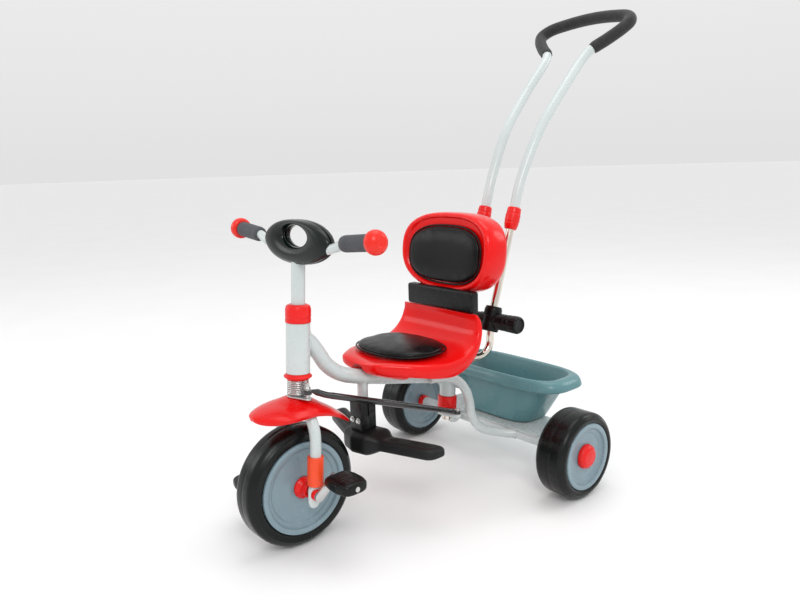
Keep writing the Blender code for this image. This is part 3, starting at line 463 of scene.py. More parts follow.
def moulded(name, rgb, rough=(0.22, 0.34), coat=0.35, grain=0.03, grain_scale=900.0, edge=1.18, scuff=0.5,
            coat_rough=0.08, flow=14.0, spec=0.5):
    """Injection moulded plastic: faint flow mottling, fine skin, polished edges and hairline scuffs."""
    m, nt, p, vec = shader(name, coat=coat, coat_rough=coat_rough, spec=spec)
    n1 = noise(nt, vec, flow, 3.0)
    col = mix(nt, ramp(nt, n1, [(0.35, 0.0), (0.68, 1.0)]), tint(rgb, 0.93), tint(rgb, 1.05))
    wear = edge_mask(nt, 0.515, 0.58)
    nw = noise(nt, vec, 85.0, 5.0, 0.6)
    wearf = math_node(nt, 'MULTIPLY', wear, ramp(nt, nw, [(0.45, 0.0), (0.62, 0.55)]))
    col = mix(nt, wearf, col, tint(tuple(min(1, c + 0.015) for c in rgb), edge))
    nt.links.new(col, p.inputs["Base Color"])
    sc = noise(nt, stretch(nt, vec, 40.0, 700.0, 240.0, (0.5, 0.3, 0.7)), 1.0, 2.0)
    sm = noise(nt, vec, 22.0, 3.0)
    r1 = ramp(nt, sm, [(0.3, rough[0]), (0.72, rough[1])])
    r2 = mix(nt, math_node(nt, 'MULTIPLY', ramp(nt, sc, [(0.62, 0.0), (0.70, 1.0)]), scuff * 0.5),
             r1, (rough[1] + 0.22,) * 3)
    nt.links.new(r2, p.inputs["Roughness"])
    g = noise(nt, vec, grain_scale, 2.0)
    w = noise(nt, vec, 32.0, 2.0)
    b1 = bump(nt, p, g, grain, 0.0004)
    bump(nt, p, w, 0.05, 0.0016, b1)
    return m


def painted(name, rgb, rough=(0.22, 0.34), coat=0.35):
    """Powder coated steel tube: orange peel skin, slight tone shifts, rubbed edges."""
    m, nt, p, vec = shader(name, coat=coat, coat_rough=0.12)
    n1 = noise(nt, vec, 9.0, 4.0)
    col = mix(nt, ramp(nt, n1, [(0.3, 0.0), (0.7, 1.0)]), tint(rgb, 0.94), tint(rgb, 1.03))
    dirt = noise(nt, vec, 55.0, 6.0, 0.62)
    col = mix(nt, ramp(nt, dirt, [(0.64, 0.0), (0.84, 0.07)]), col, tint(rgb, 0.70))
    edge = math_node(nt, 'MULTIPLY', edge_mask(nt, 0.53, 0.60), ramp(nt, noise(nt, vec, 130.0, 5.0, 0.7), [(0.5, 0.0), (0.64, 0.6)]))
    col = mix(nt, edge, col, tint(rgb, 0.70))
    nt.links.new(col, p.inputs["Base Color"])
    nt.links.new(ramp(nt, noise(nt, vec, 30.0, 4.0), [(0.3, rough[0]), (0.7, rough[1])]), p.inputs["Roughness"])
    b1 = bump(nt, p, noise(nt, vec, 420.0, 2.0), 0.10, 0.0003)
    bump(nt, p, noise(nt, vec, 70.0, 2.0), 0.05, 0.0010, b1)
    return m


def metal(name, rgb, rough=(0.10, 0.2), brushed=0.0, bumps=0.05, spots=0.12):
    m, nt, p, vec = shader(name, metallic=1.0)
    n1 = noise(nt, vec, 26.0, 5.0)
    col = mix(nt, ramp(nt, n1, [(0.3, 0.0), (0.72, 1.0)]), tint(rgb, 0.86), tint(rgb, 1.06))
    col = mix(nt, ramp(nt, noise(nt, vec, 160.0, 5.0, 0.7), [(0.66, 0.0), (0.78, spots)]), col, tint(rgb, 0.35))
    nt.links.new(col, p.inputs["Base Color"])
    st = noise(nt, stretch(nt, vec, 900.0, 60.0, 900.0), 1.0, 3.0)
    r = mix(nt, brushed, ramp(nt, n1, [(0.3, rough[0]), (0.7, rough[1])]), ramp(nt, st, [(0.3, rough[0]), (0.7, rough[1] + 0.15)]))
    nt.links.new(r, p.inputs["Roughness"])
    bump(nt, p, st if brushed > 0.3 else noise(nt, vec, 300.0, 2.0), bumps, 0.0003)
    return m


def foam(name, rgb):
    """Closed cell foam sleeve: pitted skin, dull."""
    m, nt, p, vec = shader(name, sheen=0.15)
    v = nt.nodes.new("ShaderNodeTexVoronoi")
    v.inputs["Scale"].default_value = 620.0
    nt.links.new(vec, v.inputs["Vector"])
    cells = ramp(nt, v.outputs["Distance"], [(0.15, 0.0), (0.55, 1.0)])
    col = mix(nt, cells, tint(rgb, 0.55), tint(rgb, 1.35))
    col = mix(nt, ramp(nt, noise(nt, vec, 30.0, 4.0), [(0.35, 0.0), (0.75, 0.5)]), col, tint(rgb, 1.9))
    nt.links.new(col, p.inputs["Base Color"])
    nt.links.new(ramp(nt, noise(nt, vec, 90.0, 4.0), [(0.3, 0.62), (0.7, 0.82)]), p.inputs["Roughness"])
    b1 = bump(nt, p, cells, 0.35, 0.0005)
    bump(nt, p, noise(nt, vec, 150.0, 4.0), 0.15, 0.0008, b1)
    return m


def rubber(name, rgb, rough=(0.45, 0.62), grain=0.12, spec=0.5, dust=0.10, coat=0.0):
    m, nt, p, vec = shader(name, coat=coat, coat_rough=0.25)
    p.inputs["Specular IOR Level"].default_value = spec
    n1 = noise(nt, vec, 20.0, 5.0, 0.6)
    col = mix(nt, ramp(nt, n1, [(0.3, 0.0), (0.7, 1.0)]), tint(rgb, 0.85), tint(rgb, 1.12))
    col = mix(nt, ramp(nt, noise(nt, vec, 60.0, 6.0, 0.65), [(0.55, 0.0), (0.80, dust)]), col, (0.20, 0.19, 0.18))
    nt.links.new(col, p.inputs["Base Color"])
    nt.links.new(ramp(nt, noise(nt, vec, 45.0, 4.0), [(0.3, rough[0]), (0.7, rough[1])]), p.inputs["Roughness"])
    b1 = bump(nt, p, noise(nt, vec, 1100.0, 2.0), grain, 0.0003)
    bump(nt, p, noise(nt, vec, 38.0, 3.0), 0.06, 0.0015, b1)
    return m


def vinyl(name, rgb):
    """Soft glossy vinyl skin over foam, with a fine leather grain and soft creases."""
    m, nt, p, vec = shader(name, coat=0.05, coat_rough=0.10, spec=0.20)
    v = nt.nodes.new("ShaderNodeTexVoronoi")
    v.feature = 'DISTANCE_TO_EDGE'
    v.inputs["Scale"].default_value = 420.0
    nt.links.new(vec, v.inputs["Vector"])
    grain = ramp(nt, v.outputs["Distance"], [(0.0, 0.0), (0.10, 1.0)])
    col = mix(nt, ramp(nt, noise(nt, vec, 16.0, 4.0), [(0.3, 0.0), (0.7, 1.0)]), tint(rgb, 0.8), tint(rgb, 1.25))
    col = mix(nt, grain, tint(rgb, 0.55), col)
    nt.links.new(col, p.inputs["Base Color"])
    nt.links.new(ramp(nt, noise(nt, vec, 40.0, 5.0), [(0.3, 0.26), (0.72, 0.42)]), p.inputs["Roughness"])
    b1 = bump(nt, p, grain, 0.16, 0.00025)
    cr = noise(nt, stretch(nt, vec, 18.0, 42.0, 30.0), 1.0, 3.0, 0.5, 0.6)
    bump(nt, p, cr, 0.10, 0.0022, b1)
    return m


M_RED = moulded("red_gloss", (0.76, 0.0030, 0.0030), rough=(0.15, 0.26), coat=0.06, grain=0.02, flow=10.0, spec=0.26)
M_RED_SOFT = moulded("red_soft_plastic", (0.76, 0.006, 0.005), rough=(0.24, 0.36), coat=0.05, grain=0.04, spec=0.34)
M_CAP = moulded("red_ball_end", (0.78, 0.016, 0.006), rough=(0.22, 0.34), coat=0.08, grain=0.05, spec=0.36)
M_ORANGE = moulded("orange_sleeve", (0.86, 0.070, 0.016), rough=(0.28, 0.40), coat=0.05, grain=0.04, spec=0.36)
M_GREY = painted("grey_paint", (0.56, 0.615, 0.610))
M_BLACK = moulded("black_moulding", (0.0032, 0.0035, 0.0038), rough=(0.22, 0.38), coat=0.0, grain=0.10, edge=2.0, grain_scale=700.0, spec=0.24)
M_BLACK_TEX = moulded("black_textured", (0.0050, 0.0056, 0.0056), rough=(0.38, 0.56), coat=0.0, grain=0.30, edge=2.2, grain_scale=520.0, spec=0.30)
M_COVER = moulded("cover_black", (0.003, 0.007, 0.006), rough=(0.18, 0.30), coat=0.0, grain=0.05, edge=1.8, spec=0.30)
M_ROD = painted("black_rod_paint", (0.010, 0.010, 0.011), rough=(0.18, 0.32), coat=0.5)
M_TUB = moulded("slate_basket", (0.100, 0.235, 0.255), rough=(0.24, 0.36), coat=0.15, grain=0.06, flow=7.0, spec=0.4)
M_DISC = moulded("blue_grey_disc", (0.205, 0.295, 0.340), rough=(0.24, 0.38), coat=0.25, grain=0.05, flow=18.0)
M_TYRE = rubber("tyre_moulded", (0.0026, 0.0036, 0.0036), rough=(0.20, 0.34), grain=0.10, dust=0.02, coat=0.0, spec=0.26)
M_GRIP = rubber("grip_rubber", (0.060, 0.062, 0.072), rough=(0.50, 0.66), grain=0.16, dust=0.04)
M_FOAM = foam("black_foam", (0.0085, 0.0085, 0.0095))
M_VINYL = vinyl("black_vinyl", (0.0026, 0.0024, 0.0026))
M_CHROME = metal("nickel_tube", (0.74, 0.68, 0.60), rough=(0.10, 0.20), bumps=0.04)
M_STEEL = metal("zinc_steel", (0.62, 0.62, 0.61), rough=(0.22, 0.36), brushed=0.5, bumps=0.06)
M_SPRING = metal("spring_steel", (0.66, 0.66, 0.65), rough=(0.18, 0.30), brushed=0.2, bumps=0.05)


def add(name, vf, body, mat, reps=(), sharp=38.0, ob=None):
    ob = ob or new_object(name, vf, sharp)
    ob.data.materials.clear()
    ob.data.materials.append(mat)
    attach(ob, body)
    if reps:
        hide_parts(*reps)
    return ob


def weld_bead(path_pts, r=0.0017, seg=8):
    """Rippled bead of weld along a closed line."""
    n = len(path_pts)
    rr = [r * (1.0 + 0.22 * math.sin(2 * math.pi * i * (n // 5) / n)) for i in range(n)]
    return sweep(path_pts, rr, seg, closed=True)


def saddle(axis_o, axis_d, big_r, br_o, br_d, br_r, n=72, lift=0.0):
    """Closed line where a branch tube of radius br_r (centre line br_o, br_d)
    runs into a main tube of radius big_r."""
    D = Vector(axis_d).normalized()
    B = Vector(br_d).normalized()
    u = B.cross(Vector((1, 0, 0)))
    if u.length < 0.1:
        u = B.cross(Vector((0, 0, 1)))
    u.normalize()
    v = B.cross(u)
    pts = []
    for k in range(n):
        a = 2 * math.pi * k / n
        o = Vector(br_o) + (u * math.cos(a) + v * math.sin(a)) * br_r
        # o + t B at distance big_r from the main axis
        w = o - Vector(axis_o)
        wp = w - D * w.dot(D)
        bp = B - D * B.dot(D)
        qa, qb, qc = bp.dot(bp), 2 * wp.dot(bp), wp.dot(wp) - (big_r + lift) ** 2
        disc = qb * qb - 4 * qa * qc
        if qa < 1e-9 or disc < 0:
            t = -qb / (2 * qa) if qa > 1e-9 else 0.0
        else:
            t = (-qb + math.sqrt(disc)) / (2 * qa)
        pts.append(o + B * t)
    return pts


# ============================================================================
#  FRAME
# ============================================================================
HEAD_R, HEAD_LO, HEAD_HI, STEM_R, MAIN_R = 0.021, 0.3080, 0.3960, 0.012, 0.014
MAIN_PATH = [(0, -0.474, 0.372), (0, -0.452, 0.358), (0, -0.434, 0.334),
             (0, -0.418, 0.309), (0, -0.392, 0.2875), (0, -0.360, 0.2745),
             (0, -0.300, 0.259), (0, -0.220, 0.2415), (0, -0.1165, 0.2190)]
R_HEAD_LO, R_HEAD_HI = 0.1790, 0.2380
FOOT_Y = -0.338
parts = [transform(lathe(tube(STEM_R + 0.0037, HEAD_R, HEAD_LO, HEAD_HI), 64, rnd=0.0010), HEAD),
         sweep(spline(MAIN_PATH, 90), MAIN_R, 36),
         transform(lathe(tube(0.0120, 0.0165, R_HEAD_LO, R_HEAD_HI), 56, rnd=0.0010), POST),
         sweep([(0, FOOT_Y, 0.262), (0, FOOT_Y - 0.001, 0.22), (0, FOOT_Y - 0.002, 0.180)], 0.0100, 32)]
parts.append(weld_bead(saddle(head_pt(0, 0, 0.35), S_AX, HEAD_R, (0, -0.452, 0.358), (0, 1.0, -0.98), MAIN_R + 0.0004)))
parts.append(weld_bead(saddle(post_pt(0, 0, 0.21), S_AX, 0.0165, (0, -0.1365, 0.2233), (0, -1.0, 0.215), MAIN_R + 0.0003)))
parts.append(weld_bead(saddle((0, -0.338, 0.2695), (0, -1.0, 0.26), MAIN_R, (0, -0.338, 0.25), (0, 0.03, -1.0), 0.0103)))
add("frame_tubes", join(*parts), "frame", M_GREY, ["main_frame"])

RT, AX_T = 0.0095, 0.0118


def rear_leg(sign):
    return [(sign * 0.0200, -0.1850, 0.2325), (sign * 0.0280, -0.155, 0.2310),
            (sign * 0.0325, -0.122, 0.2180), (sign * 0.0340, -0.098, 0.1920),
            (sign * 0.0338, -0.0870, 0.1640), (sign * 0.0345, -0.081, 0.1330),
            (sign * 0.0430, -0.066, 0.1050), (sign * 0.0660, -0.028, 0.0885),
            (sign * 0.0950, 0.000, 0.0860)]


parts = [lathe(tube(0.0056, AX_T, -0.1930, 0.1930), 48, origin=(0, 0, AXLE_Z), axis=(1, 0, 0), rnd=0.0008)]
for s in (1, -1):
    parts.append(sweep(spline(rear_leg(s), 80), RT, 32))
    parts.append(weld_bead(saddle((0, 0, AXLE_Z), (1, 0, 0), AX_T, (s * 0.0700, -0.022, 0.0875), (-s * 0.72, -0.66, 0.06), RT + 0.0003, 72)))
parts.append(sweep([(-0.0335, -0.1030, 0.2000), (0, -0.1030, 0.2000), (0.0335, -0.1030, 0.2000)], 0.0065, 24, side=Vector((0, 0, 1))))
tray = box_mesh(-0.150, 0.150, -0.010, 0.095, 0.0958, 0.0988)
parts.append(tray)
add("rear_tubes", join(*parts), "frame", M_GREY, ["rear_frame"])
for n in ("rear_axle",):
    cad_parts[n].data.materials.clear()
    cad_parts[n].data.materials.append(M_STEEL)

add("head_cup", transform(lathe([(STEM_R + .0003, HEAD_HI + 0.0003), (0.0222, HEAD_HI + 0.0003), (0.0222, 0.4035), (0.0216, 0.4042),
                                 (0.0216, 0.4052), (0.0222, 0.4059), (0.0222, 0.4190), (0.0205, 0.4250),
                                 (0.0155, 0.4275), (STEM_R + .0003, 0.4275)], 80, rnd=0.0012), HEAD),
    "frame", M_RED_SOFT, ["head_cup_upper"])
add("post_cups", join(
    transform(lathe([(0.0103, 0.1480), (0.0180, 0.1480), (0.0196, 0.1500), (0.0196, 0.1600), (0.0190, 0.1606), (0.0190, 0.1616),
                     (0.0196, 0.1622), (0.0196, 0.1765), (0.0186, 0.1787), (0.0103, 0.1787)], 72, rnd=0.0009), POST),
    transform(lathe([(0.0103, R_HEAD_HI + 0.0003), (0.0186, R_HEAD_HI + 0.0003), (0.0190, 0.2405), (0.0180, 0.2420), (0.0103, 0.2420)],
                    72, rnd=0.0006), POST)),
    "frame", M_RED_SOFT, ["post_cup_lower", "post_cup_upper"])


def hex_bolt(origin, axis, af, h, washer=0.0, dome=True, spin=0.0):
    """Hexagon head with chamfered corners, washer below."""
    r = af / 2 / math.cos(math.pi / 6)
    parts_ = []
    if washer > 0:
        parts_.append(lathe(tube(0.0016, af * 0.78, 0, 0.0008), 36, origin=origin, axis=axis, rnd=0.0002))
    z0 = 0.0008 if washer > 0 else 0.0
    parts_.append(lathe([(0, z0), (r * 0.96, z0), (r, z0 + 0.0004), (r, h - 0.0008), (r * 0.86, h), (0, h)], 6, origin=origin, axis=axis, phase=spin))
    return join(*parts_)


FB = FOOT_Y - 0.002
clamp = new_object("footrest_block", box_mesh(-0.0165, 0.0165, FB - 0.0175, FB + 0.0175, 0.168, 0.223))
boolean(clamp, sweep([(0, FOOT_Y, 0.262), (0, FOOT_Y - 0.002, 0.180)], 0.0103, 32))
boolean(clamp, box_mesh(-0.0300, 0.0300, FB - 0.0015, FB + 0.0015, 0.196, 0.23))
bevel(clamp, 0.0022, 4)
apply_all(clamp)
add("footrest_block", None, "frame", M_BLACK, ["footrest_clamp"], ob=clamp)
for s, n in ((1, "left"), (-1, "right")):
    add("clamp_bolt_" + n, hex_bolt((s * 0.0088, FB - 0.0175 - 0.0003, 0.188), (0, -1, 0), 0.0070, 0.0042, 1.0), "frame", M_STEEL,
        ["footrest_bolt_" + n], sharp=25)

FOOT_C, FOOT_SWEEP = (-0.3450, 0.1460), math.tan(math.radians(20.0))


def foot_section(x, n=48):
    a = abs(x)
    k = min(1.0, max(0.0, (a - 0.026) / 0.026))
    k = k * k * (3 - 2 * k)
    hw, hh = 0.0330 - 0.0130 * k, 0.0215 - 0.0105 * k
    cy0 = FOOT_C[0] + 0.005 + a * 0.25
    cy1 = FOOT_C[0] + a * FOOT_SWEEP
    cy, cz = cy0 + (cy1 - cy0) * k, FOOT_C[1]
    if a > 0.136:
        q = min(1.0, (a - 0.136) / 0.019)
        f = math.sqrt(max(0.0, 1 - q * q))
        hw *= 0.30 + 0.70 * f
        hh *= 0.35 + 0.65 * f
    return [(x, cy + u, cz + v) for u, v in superellipse(hw, hh, 4.2, n)]


xs = [i * 0.0035 for i in range(0, 39)] + [0.138 + 0.017 * math.sin(math.pi / 2 * i / 10) for i in range(1, 11)]
xs = [-x for x in reversed(xs[1:])] + xs
add("footrest_bar", loft([foot_section(x) for x in xs]), "frame", M_BLACK_TEX, ["footrest"])
# grip ribs on top of both wings
ribs = []
for s in (1, -1):
    for i in range(13):
        x = s * (0.060 + i * 0.0062)
        cy = FOOT_C[0] + abs(x) * FOOT_SWEEP
        ribs.append(sweep([(x - s * 0.0040, cy - 0.0120, FOOT_C[1] + 0.0107), (x, cy, FOOT_C[1] + 0.0109), (x + s * 0.0040, cy + 0.0120, FOOT_C[1] + 0.0107)],
                          [0.0006, 0.0011, 0.0006], 8))
add("footrest_ribs", join(*ribs), "frame", M_BLACK_TEX)

# ============================================================================
#  SEAT
# ============================================================================
SEAT_ST = [(-0.3480, 0.2985, 0.036, 0.0130), (-0.3472, 0.3005, 0.0425, 0.0175), (-0.3450, 0.3028, 0.050, 0.0235),
           (-0.3400, 0.3047, 0.0575, 0.0290), (-0.3320, 0.3056, 0.0655, 0.0335),
           (-0.3150, 0.3060, 0.0805, 0.0390), (-0.2900, 0.3052, 0.100, 0.0440),
           (-0.2500, 0.3040, 0.117, 0.0520), (-0.2100, 0.3045, 0.1225, 0.0560),
           (-0.1820, 0.3085, 0.1215, 0.0490), (-0.1590, 0.3190, 0.1180, 0.0370),
           (-0.1470, 0.3330, 0.1135, 0.0290), (-0.1430, 0.3470, 0.1095, 0.0270),
           (-0.1415, 0.3580, 0.1060, 0.0250), (-0.1412, 0.3660, 0.1030, 0.0150)]


def dense(st, n):
    """Stations resampled along a smooth curve in all four values."""
    A = spline([(a, b, c) for a, b, c, d in st], n)
    # the thickness follows the same spacing
    P = [Vector((a, b, c)) for a, b, c, d in st]
    out = []
    seg = [0.0]
    for i in range(1, len(P)):
        seg.append(seg[-1] + (P[i] - P[i - 1]).length)
    D = spline([(s_, st[i][3], 0) for i, s_ in enumerate(seg)], n)
    for q, d in zip(A, D):
        out.append((q.x, q.y, q.z, max(0.004, d.y)))
    return out


def seat_rings(st, n, dish=0.006, inset=0.0, deep=0.0, p=3.2, step=1):
    rings = []
    m = len(st)
    for i in range(0, m, step):
        y, z, w, t = st[i]
        a = st[max(0, i - 2)]
        b = st[min(m - 1, i + 2)]
        tan = Vector((0, b[0] - a[0], b[1] - a[1])).normalized()
        nor = Vector((0, -tan.z, tan.y))
        if nor.z < 0 and tan.y > 0.3:
            nor.negate()
        q = min(1.0, max(0.0, (y + 0.270) / 0.040))
        nor = (Vector((0, 0, 1)) * (1 - q) + nor * q).normalized()
        ring = []
        tt = t + deep
        ww = w - inset
        for u, v in superellipse(ww, tt / 2, p, n):
            d = dish * max(0.0, 1 - (u / max(w, 1e-6)) ** 2) * min(1.0, t / 0.024)
            lift = -d if v > 0 else 0.0
            side = (abs(u) / w) ** 3
            ring.append(Vector((u, y, z)) + nor * (v - tt / 2 + lift + 0.003 * side - inset))
        rings.append(ring)
    return rings


ST = dense(SEAT_ST, 120)
seat = new_object("seat_moulding", loft(seat_rings(ST, 120)))
inner_st = [q for q in ST if q[0] > -0.3020 and q[1] < 0.361]
boolean(seat, loft(seat_rings(inner_st, 72, inset=0.0036, deep=0.030)))
boolean(seat, sweep([(0, -0.420, 0.2790), (0, -0.290, 0.2710)], 0.0200, 64, side=Vector((1, 0, 0))))
boolean(seat, sweep(spline(MAIN_PATH, 60), MAIN_R + 0.0012, 32))
bevel(seat, 0.0011, 3, 50)
apply_all(seat, 40)
add("seat_moulding", None, "frame", M_RED, ["seat_shell"], ob=seat)


def pad_mesh(center, ax_u, ax_v, ax_n, a, b, thick, p, n=96, bend=0.0, wellness=0.0):
    """Crowned pad: flat back, bulging front that pulls in toward the outline."""
    C, U, V, N = Vector(center), Vector(ax_u), Vector(ax_v), Vector(ax_n)
    rows = [(0.945, 0.0), (0.985, 0.10), (1.0, 0.28), (0.998, 0.45), (0.982, 0.62), (0.950, 0.76), (0.90, 0.86),
            (0.82, 0.935), (0.70, 0.975), (0.55, 0.995), (0.38, 1.0), (0.20, 1.0)]
    pts = superellipse(1.0, 1.0, p, n)
    verts, faces = [], []
    for r, h in rows:
        for u, v in pts:
            verts.append(C + U * (a * u * r) + V * (b * v * r) + N * (thick * h + bend * (u * r) ** 2))
    m = len(rows)
    for i in range(m - 1):
        for k in range(n):
            k2 = (k + 1) % n
            faces.append((i * n + k, i * n + k2, (i + 1) * n + k2, (i + 1) * n + k))
    verts.append(C)
    verts.append(C + N * thick)
    for k in range(n):
        k2 = (k + 1) % n
        faces.append((len(verts) - 2, k2, k))
        faces.append((len(verts) - 1, (m - 1) * n + k, (m - 1) * n + k2))
    return verts, faces


def puff(ob, N, floor_d, cap=0.0035, voxel=0.0032, pressure=3.0, frames=16):
    """Inflates the pad as cloth over foam, keeps its back flat, applies the result."""
    N = Vector(N)
    rm = ob.modifiers.new("remesh", 'REMESH')
    rm.mode = 'VOXEL'
    rm.voxel_size = voxel
    rm.use_smooth_shade = True
    apply_all(ob, 80)
    me = ob.data
    start = [v.co.copy() for v in me.vertices]
    vg = ob.vertex_groups.new(name="pin")
    for v in me.vertices:
        d = v.co.dot(N) - floor_d(v.co)
        w = 1.0 if d < 0.0018 else max(0.0, 1.0 - (d - 0.0018) / 0.0025)
        if w > 0:
            vg.add([v.index], w, 'REPLACE')
    c = ob.modifiers.new("cloth", 'CLOTH')
    st = c.settings
    st.quality = 6
    st.mass = 0.25
    st.tension_stiffness = 12
    st.compression_stiffness = 12
    st.bending_stiffness = 1.2
    st.use_pressure = True
    st.uniform_pressure_force = pressure
    st.vertex_group_mass = "pin"
    st.effector_weights.gravity = 0.0
    c.collision_settings.use_self_collision = False
    c.point_cache.frame_start = 1
    c.point_cache.frame_end = frames
    sc = bpy.context.scene
    sc.frame_start = 1
    for f in range(1, frames + 1):
        sc.frame_set(f)
    dg = bpy.context.evaluated_depsgraph_get()
    moved = bpy.data.meshes.new_from_object(ob.evaluated_get(dg))
    out = []
    for v, s0 in zip(moved.vertices, start):
        d = v.co - s0
        # soft limit on how far the skin may swell
        out.append(s0 + d * (cap / (cap + d.length)))
    ob.modifiers.clear()
    for v, q in zip(me.vertices, out):
        v.co = q
    bpy.data.meshes.remove(moved)
    ob.vertex_groups.clear()
    sc.frame_set(1)
    sm = ob.modifiers.new("relax", 'SMOOTH')
    sm.factor = 0.5
    sm.iterations = 14
    sub = ob.modifiers.new("fine", 'SUBSURF')
    sub.levels = 1
    sub.render_levels = 1
    apply_all(ob, 80)


def outline_ring(center, U, V, N, a, b, p, n, h, bend, r):
    pts = even(superellipse(1.0, 1.0, p, 720), n)
    path = [Vector(center) + Vector(U) * (a * u) + Vector(V) * (b * v) + Vector(N) * (h + bend * u * u) for u, v in pts]
    return sweep(path, r, 12, side=Vector(N), closed=True), path


def stitches(path, N, inset, length=0.0026, gap=0.0016, r=0.00035, lift=0.0003):
    """Short thread stitches laid just inside a closed line."""
    total = sum((path[(i + 1) % len(path)] - path[i]).length for i in range(len(path)))
    m = int(total / (length + gap))
    C = sum(path, Vector()) / len(path)
    P = [q + (C - q).normalized() * inset + Vector(N) * lift for q in path]
    P = even(P, m * 2)
    out = []
    for i in range(m):
        q0, q1 = P[2 * i], P[(2 * i + 1) % len(P)]
        q1 = q0 + (q1 - q0).normalized() * length
        mid = (q0 + q1) / 2 + Vector(N) * 0.0003
        out.append(sweep([q0, mid, q1], r, 6))
    return join(*out)


SP_C = Vector((0, -0.2425, 0.3052))
if True:
    pad = new_object("seat_cushion", pad_mesh(SP_C, (1, 0, 0), (0, 1, 0), (0, 0, 1), 0.0905, 0.0690, 0.0130, 2.5))
    puff(pad, (0, 0, 1), lambda q: 0.3052, cap=0.0060)
    add("seat_cushion", None, "frame", M_VINYL, ["seat_pad"], ob=pad)
    vf, path = outline_ring(SP_C, (1, 0, 0), (0, 1, 0), (0, 0, 1), 0.0925, 0.0705, 2.5, 220, 0.0026, 0.0, 0.0018)
    add("seat_piping", vf, "frame", M_VINYL)

BACK_TILT = math.radians(7.0)
B_U = Vector((1, 0, 0))
B_V = Vector((0, math.sin(BACK_TILT), math.cos(BACK_TILT)))
B_N = Vector((0, -math.cos(BACK_TILT), math.sin(BACK_TILT)))
B_C = Vector((0, -0.1165, 0.4780))
BACK_A, BACK_B, BACK_T = 0.1270, 0.0805, 0.0580


def back_shell(n, rows, fan_front=-0.16, fan_back=-0.96):
    pts = []
    for u, v in superellipse(1.0, 1.0, 2.7, n):
        w = 1.0 - 0.10 * max(0.0, -v) ** 1.5
        pts.append((u * w, v))
    verts, faces = [], []
    for r, h in rows:
        for u, v in pts:
            bow = 0.012 * (u * r) ** 2
            verts.append(B_C + B_U * (BACK_A * u * r) + B_V * (BACK_B * v * r) + B_N * (BACK_T * h + bow))
    m = len(rows)
    for i in range(m - 1):
        for k in range(n):
            k2 = (k + 1) % n
            faces.append((i * n + k, i * n + k2, (i + 1) * n + k2, (i + 1) * n + k))
    verts.append(B_C + B_N * (BACK_T * fan_back))
    verts.append(B_C + B_N * (BACK_T * fan_front))
    for k in range(n):
        k2 = (k + 1) % n
        faces.append((len(verts) - 2, k2, k))
        faces.append((len(verts) - 1, (m - 1) * n + k, (m - 1) * n + k2))
    return verts, faces


rows = [(0.30, -0.90), (0.55, -0.905), (0.72, -0.91), (0.745, -0.93), (0.765, -0.985), (0.79, -1.0), (0.88, -1.0),
        (0.925, -0.985), (0.960, -0.955), (0.985, -0.90), (0.997, -0.82), (1.0, -0.72), (1.0, -0.55), (0.998, -0.40),
        (0.990, -0.26), (0.975, -0.135), (0.955, -0.055), (0.930, -0.012), (0.905, 0.0), (0.880, -0.008), (0.862, -0.03),
        (0.850, -0.065), (0.835, -0.090), (0.80, -0.105), (0.60, -0.125), (0.30, -0.14)]
back = new_object("backrest_moulding", back_shell(144, rows, -0.14, -0.90))
add("backrest_moulding", None, "frame", M_RED, ["backrest_shell"], ob=back)

bp_C = B_C + B_V * (-0.0050) + B_N * (-0.0062)
bpad = new_object("backrest_cushion", pad_mesh(bp_C, B_U, B_V, B_N, 0.0985, 0.0570, 0.0112, 2.7, bend=0.0085))
nn = B_N

def bfloor(q):
    u = q.x / 0.0985
    return (bp_C + SH).dot(B_N) + 0.0085 * u * u
puff(bpad, B_N, bfloor, cap=0.0055)
add("backrest_cushion", None, "frame", M_VINYL, ["backrest_pad"], ob=bpad)
vf, path = outline_ring(bp_C, B_U, B_V, B_N, 0.0998, 0.0582, 2.7, 220, 0.0026, 0.0085, 0.0017)
add("backrest_piping", vf, "frame", M_VINYL)

brk = new_object("backrest_block", box_mesh(-0.0925, 0.0925, -0.1392, -0.1183, 0.3669, 0.4085))
bevel(brk, 0.0050, 5)
apply_all(brk)
add("backrest_block", None, "frame", M_BLACK, ["backrest_bracket"], ob=brk)

# ============================================================================
#  BASKET
# ============================================================================
def basket_ring(a, y0, y1, z, n, p=3.6):
    cy, b = (y0 + y1) / 2, (y1 - y0) / 2
    return [Vector((u, cy + v, z)) for u, v in superellipse(a, b, p, n)]


outer = [(0.0860, 0.0200, 0.1085, 0.0993), (0.0905, 0.0165, 0.1120, 0.0998), (0.0945, 0.0135, 0.1150, 0.1014), (0.0972, 0.0115, 0.1172, 0.1046),
         (0.1226, 0.0112, 0.1262, 0.1480), (0.1474, 0.0110, 0.1348, 0.1905), (0.1490, 0.0106, 0.1354, 0.1916),
         (0.1510, 0.0098, 0.1362, 0.1912), (0.1600, 0.0064, 0.1415, 0.1868), (0.1690, 0.0034, 0.1470, 0.1816), (0.1712, 0.0024, 0.1484, 0.1813),
         (0.1730, 0.0014, 0.1496, 0.1820), (0.1740, 0.0010, 0.1500, 0.1838), (0.1734, 0.0014, 0.1496, 0.1880), (0.1712, 0.0028, 0.1482, 0.1942),
         (0.1676, 0.0048, 0.1460, 0.1992), (0.1625, 0.0078, 0.1426, 0.2026), (0.1565, 0.0108, 0.1384, 0.2043), (0.1510, 0.0130, 0.1350, 0.2042)]
inner = [(0.1468, 0.0145, 0.1322, 0.2026), (0.1446, 0.0152, 0.1308, 0.1994), (0.1190, 0.0149, 0.1220, 0.1500), (0.0945, 0.0146, 0.1134, 0.1075),
         (0.0915, 0.0165, 0.1115, 0.1045), (0.0860, 0.0200, 0.1085, 0.1031)]
basket = new_object("basket_tub", loft([basket_ring(a, y0, y1, z, 176, 3.5) for a, y0, y1, z in outer + inner]), 30)
add("basket_tub", None, "frame", M_TUB, ["basket"], ob=basket)
ribs = []
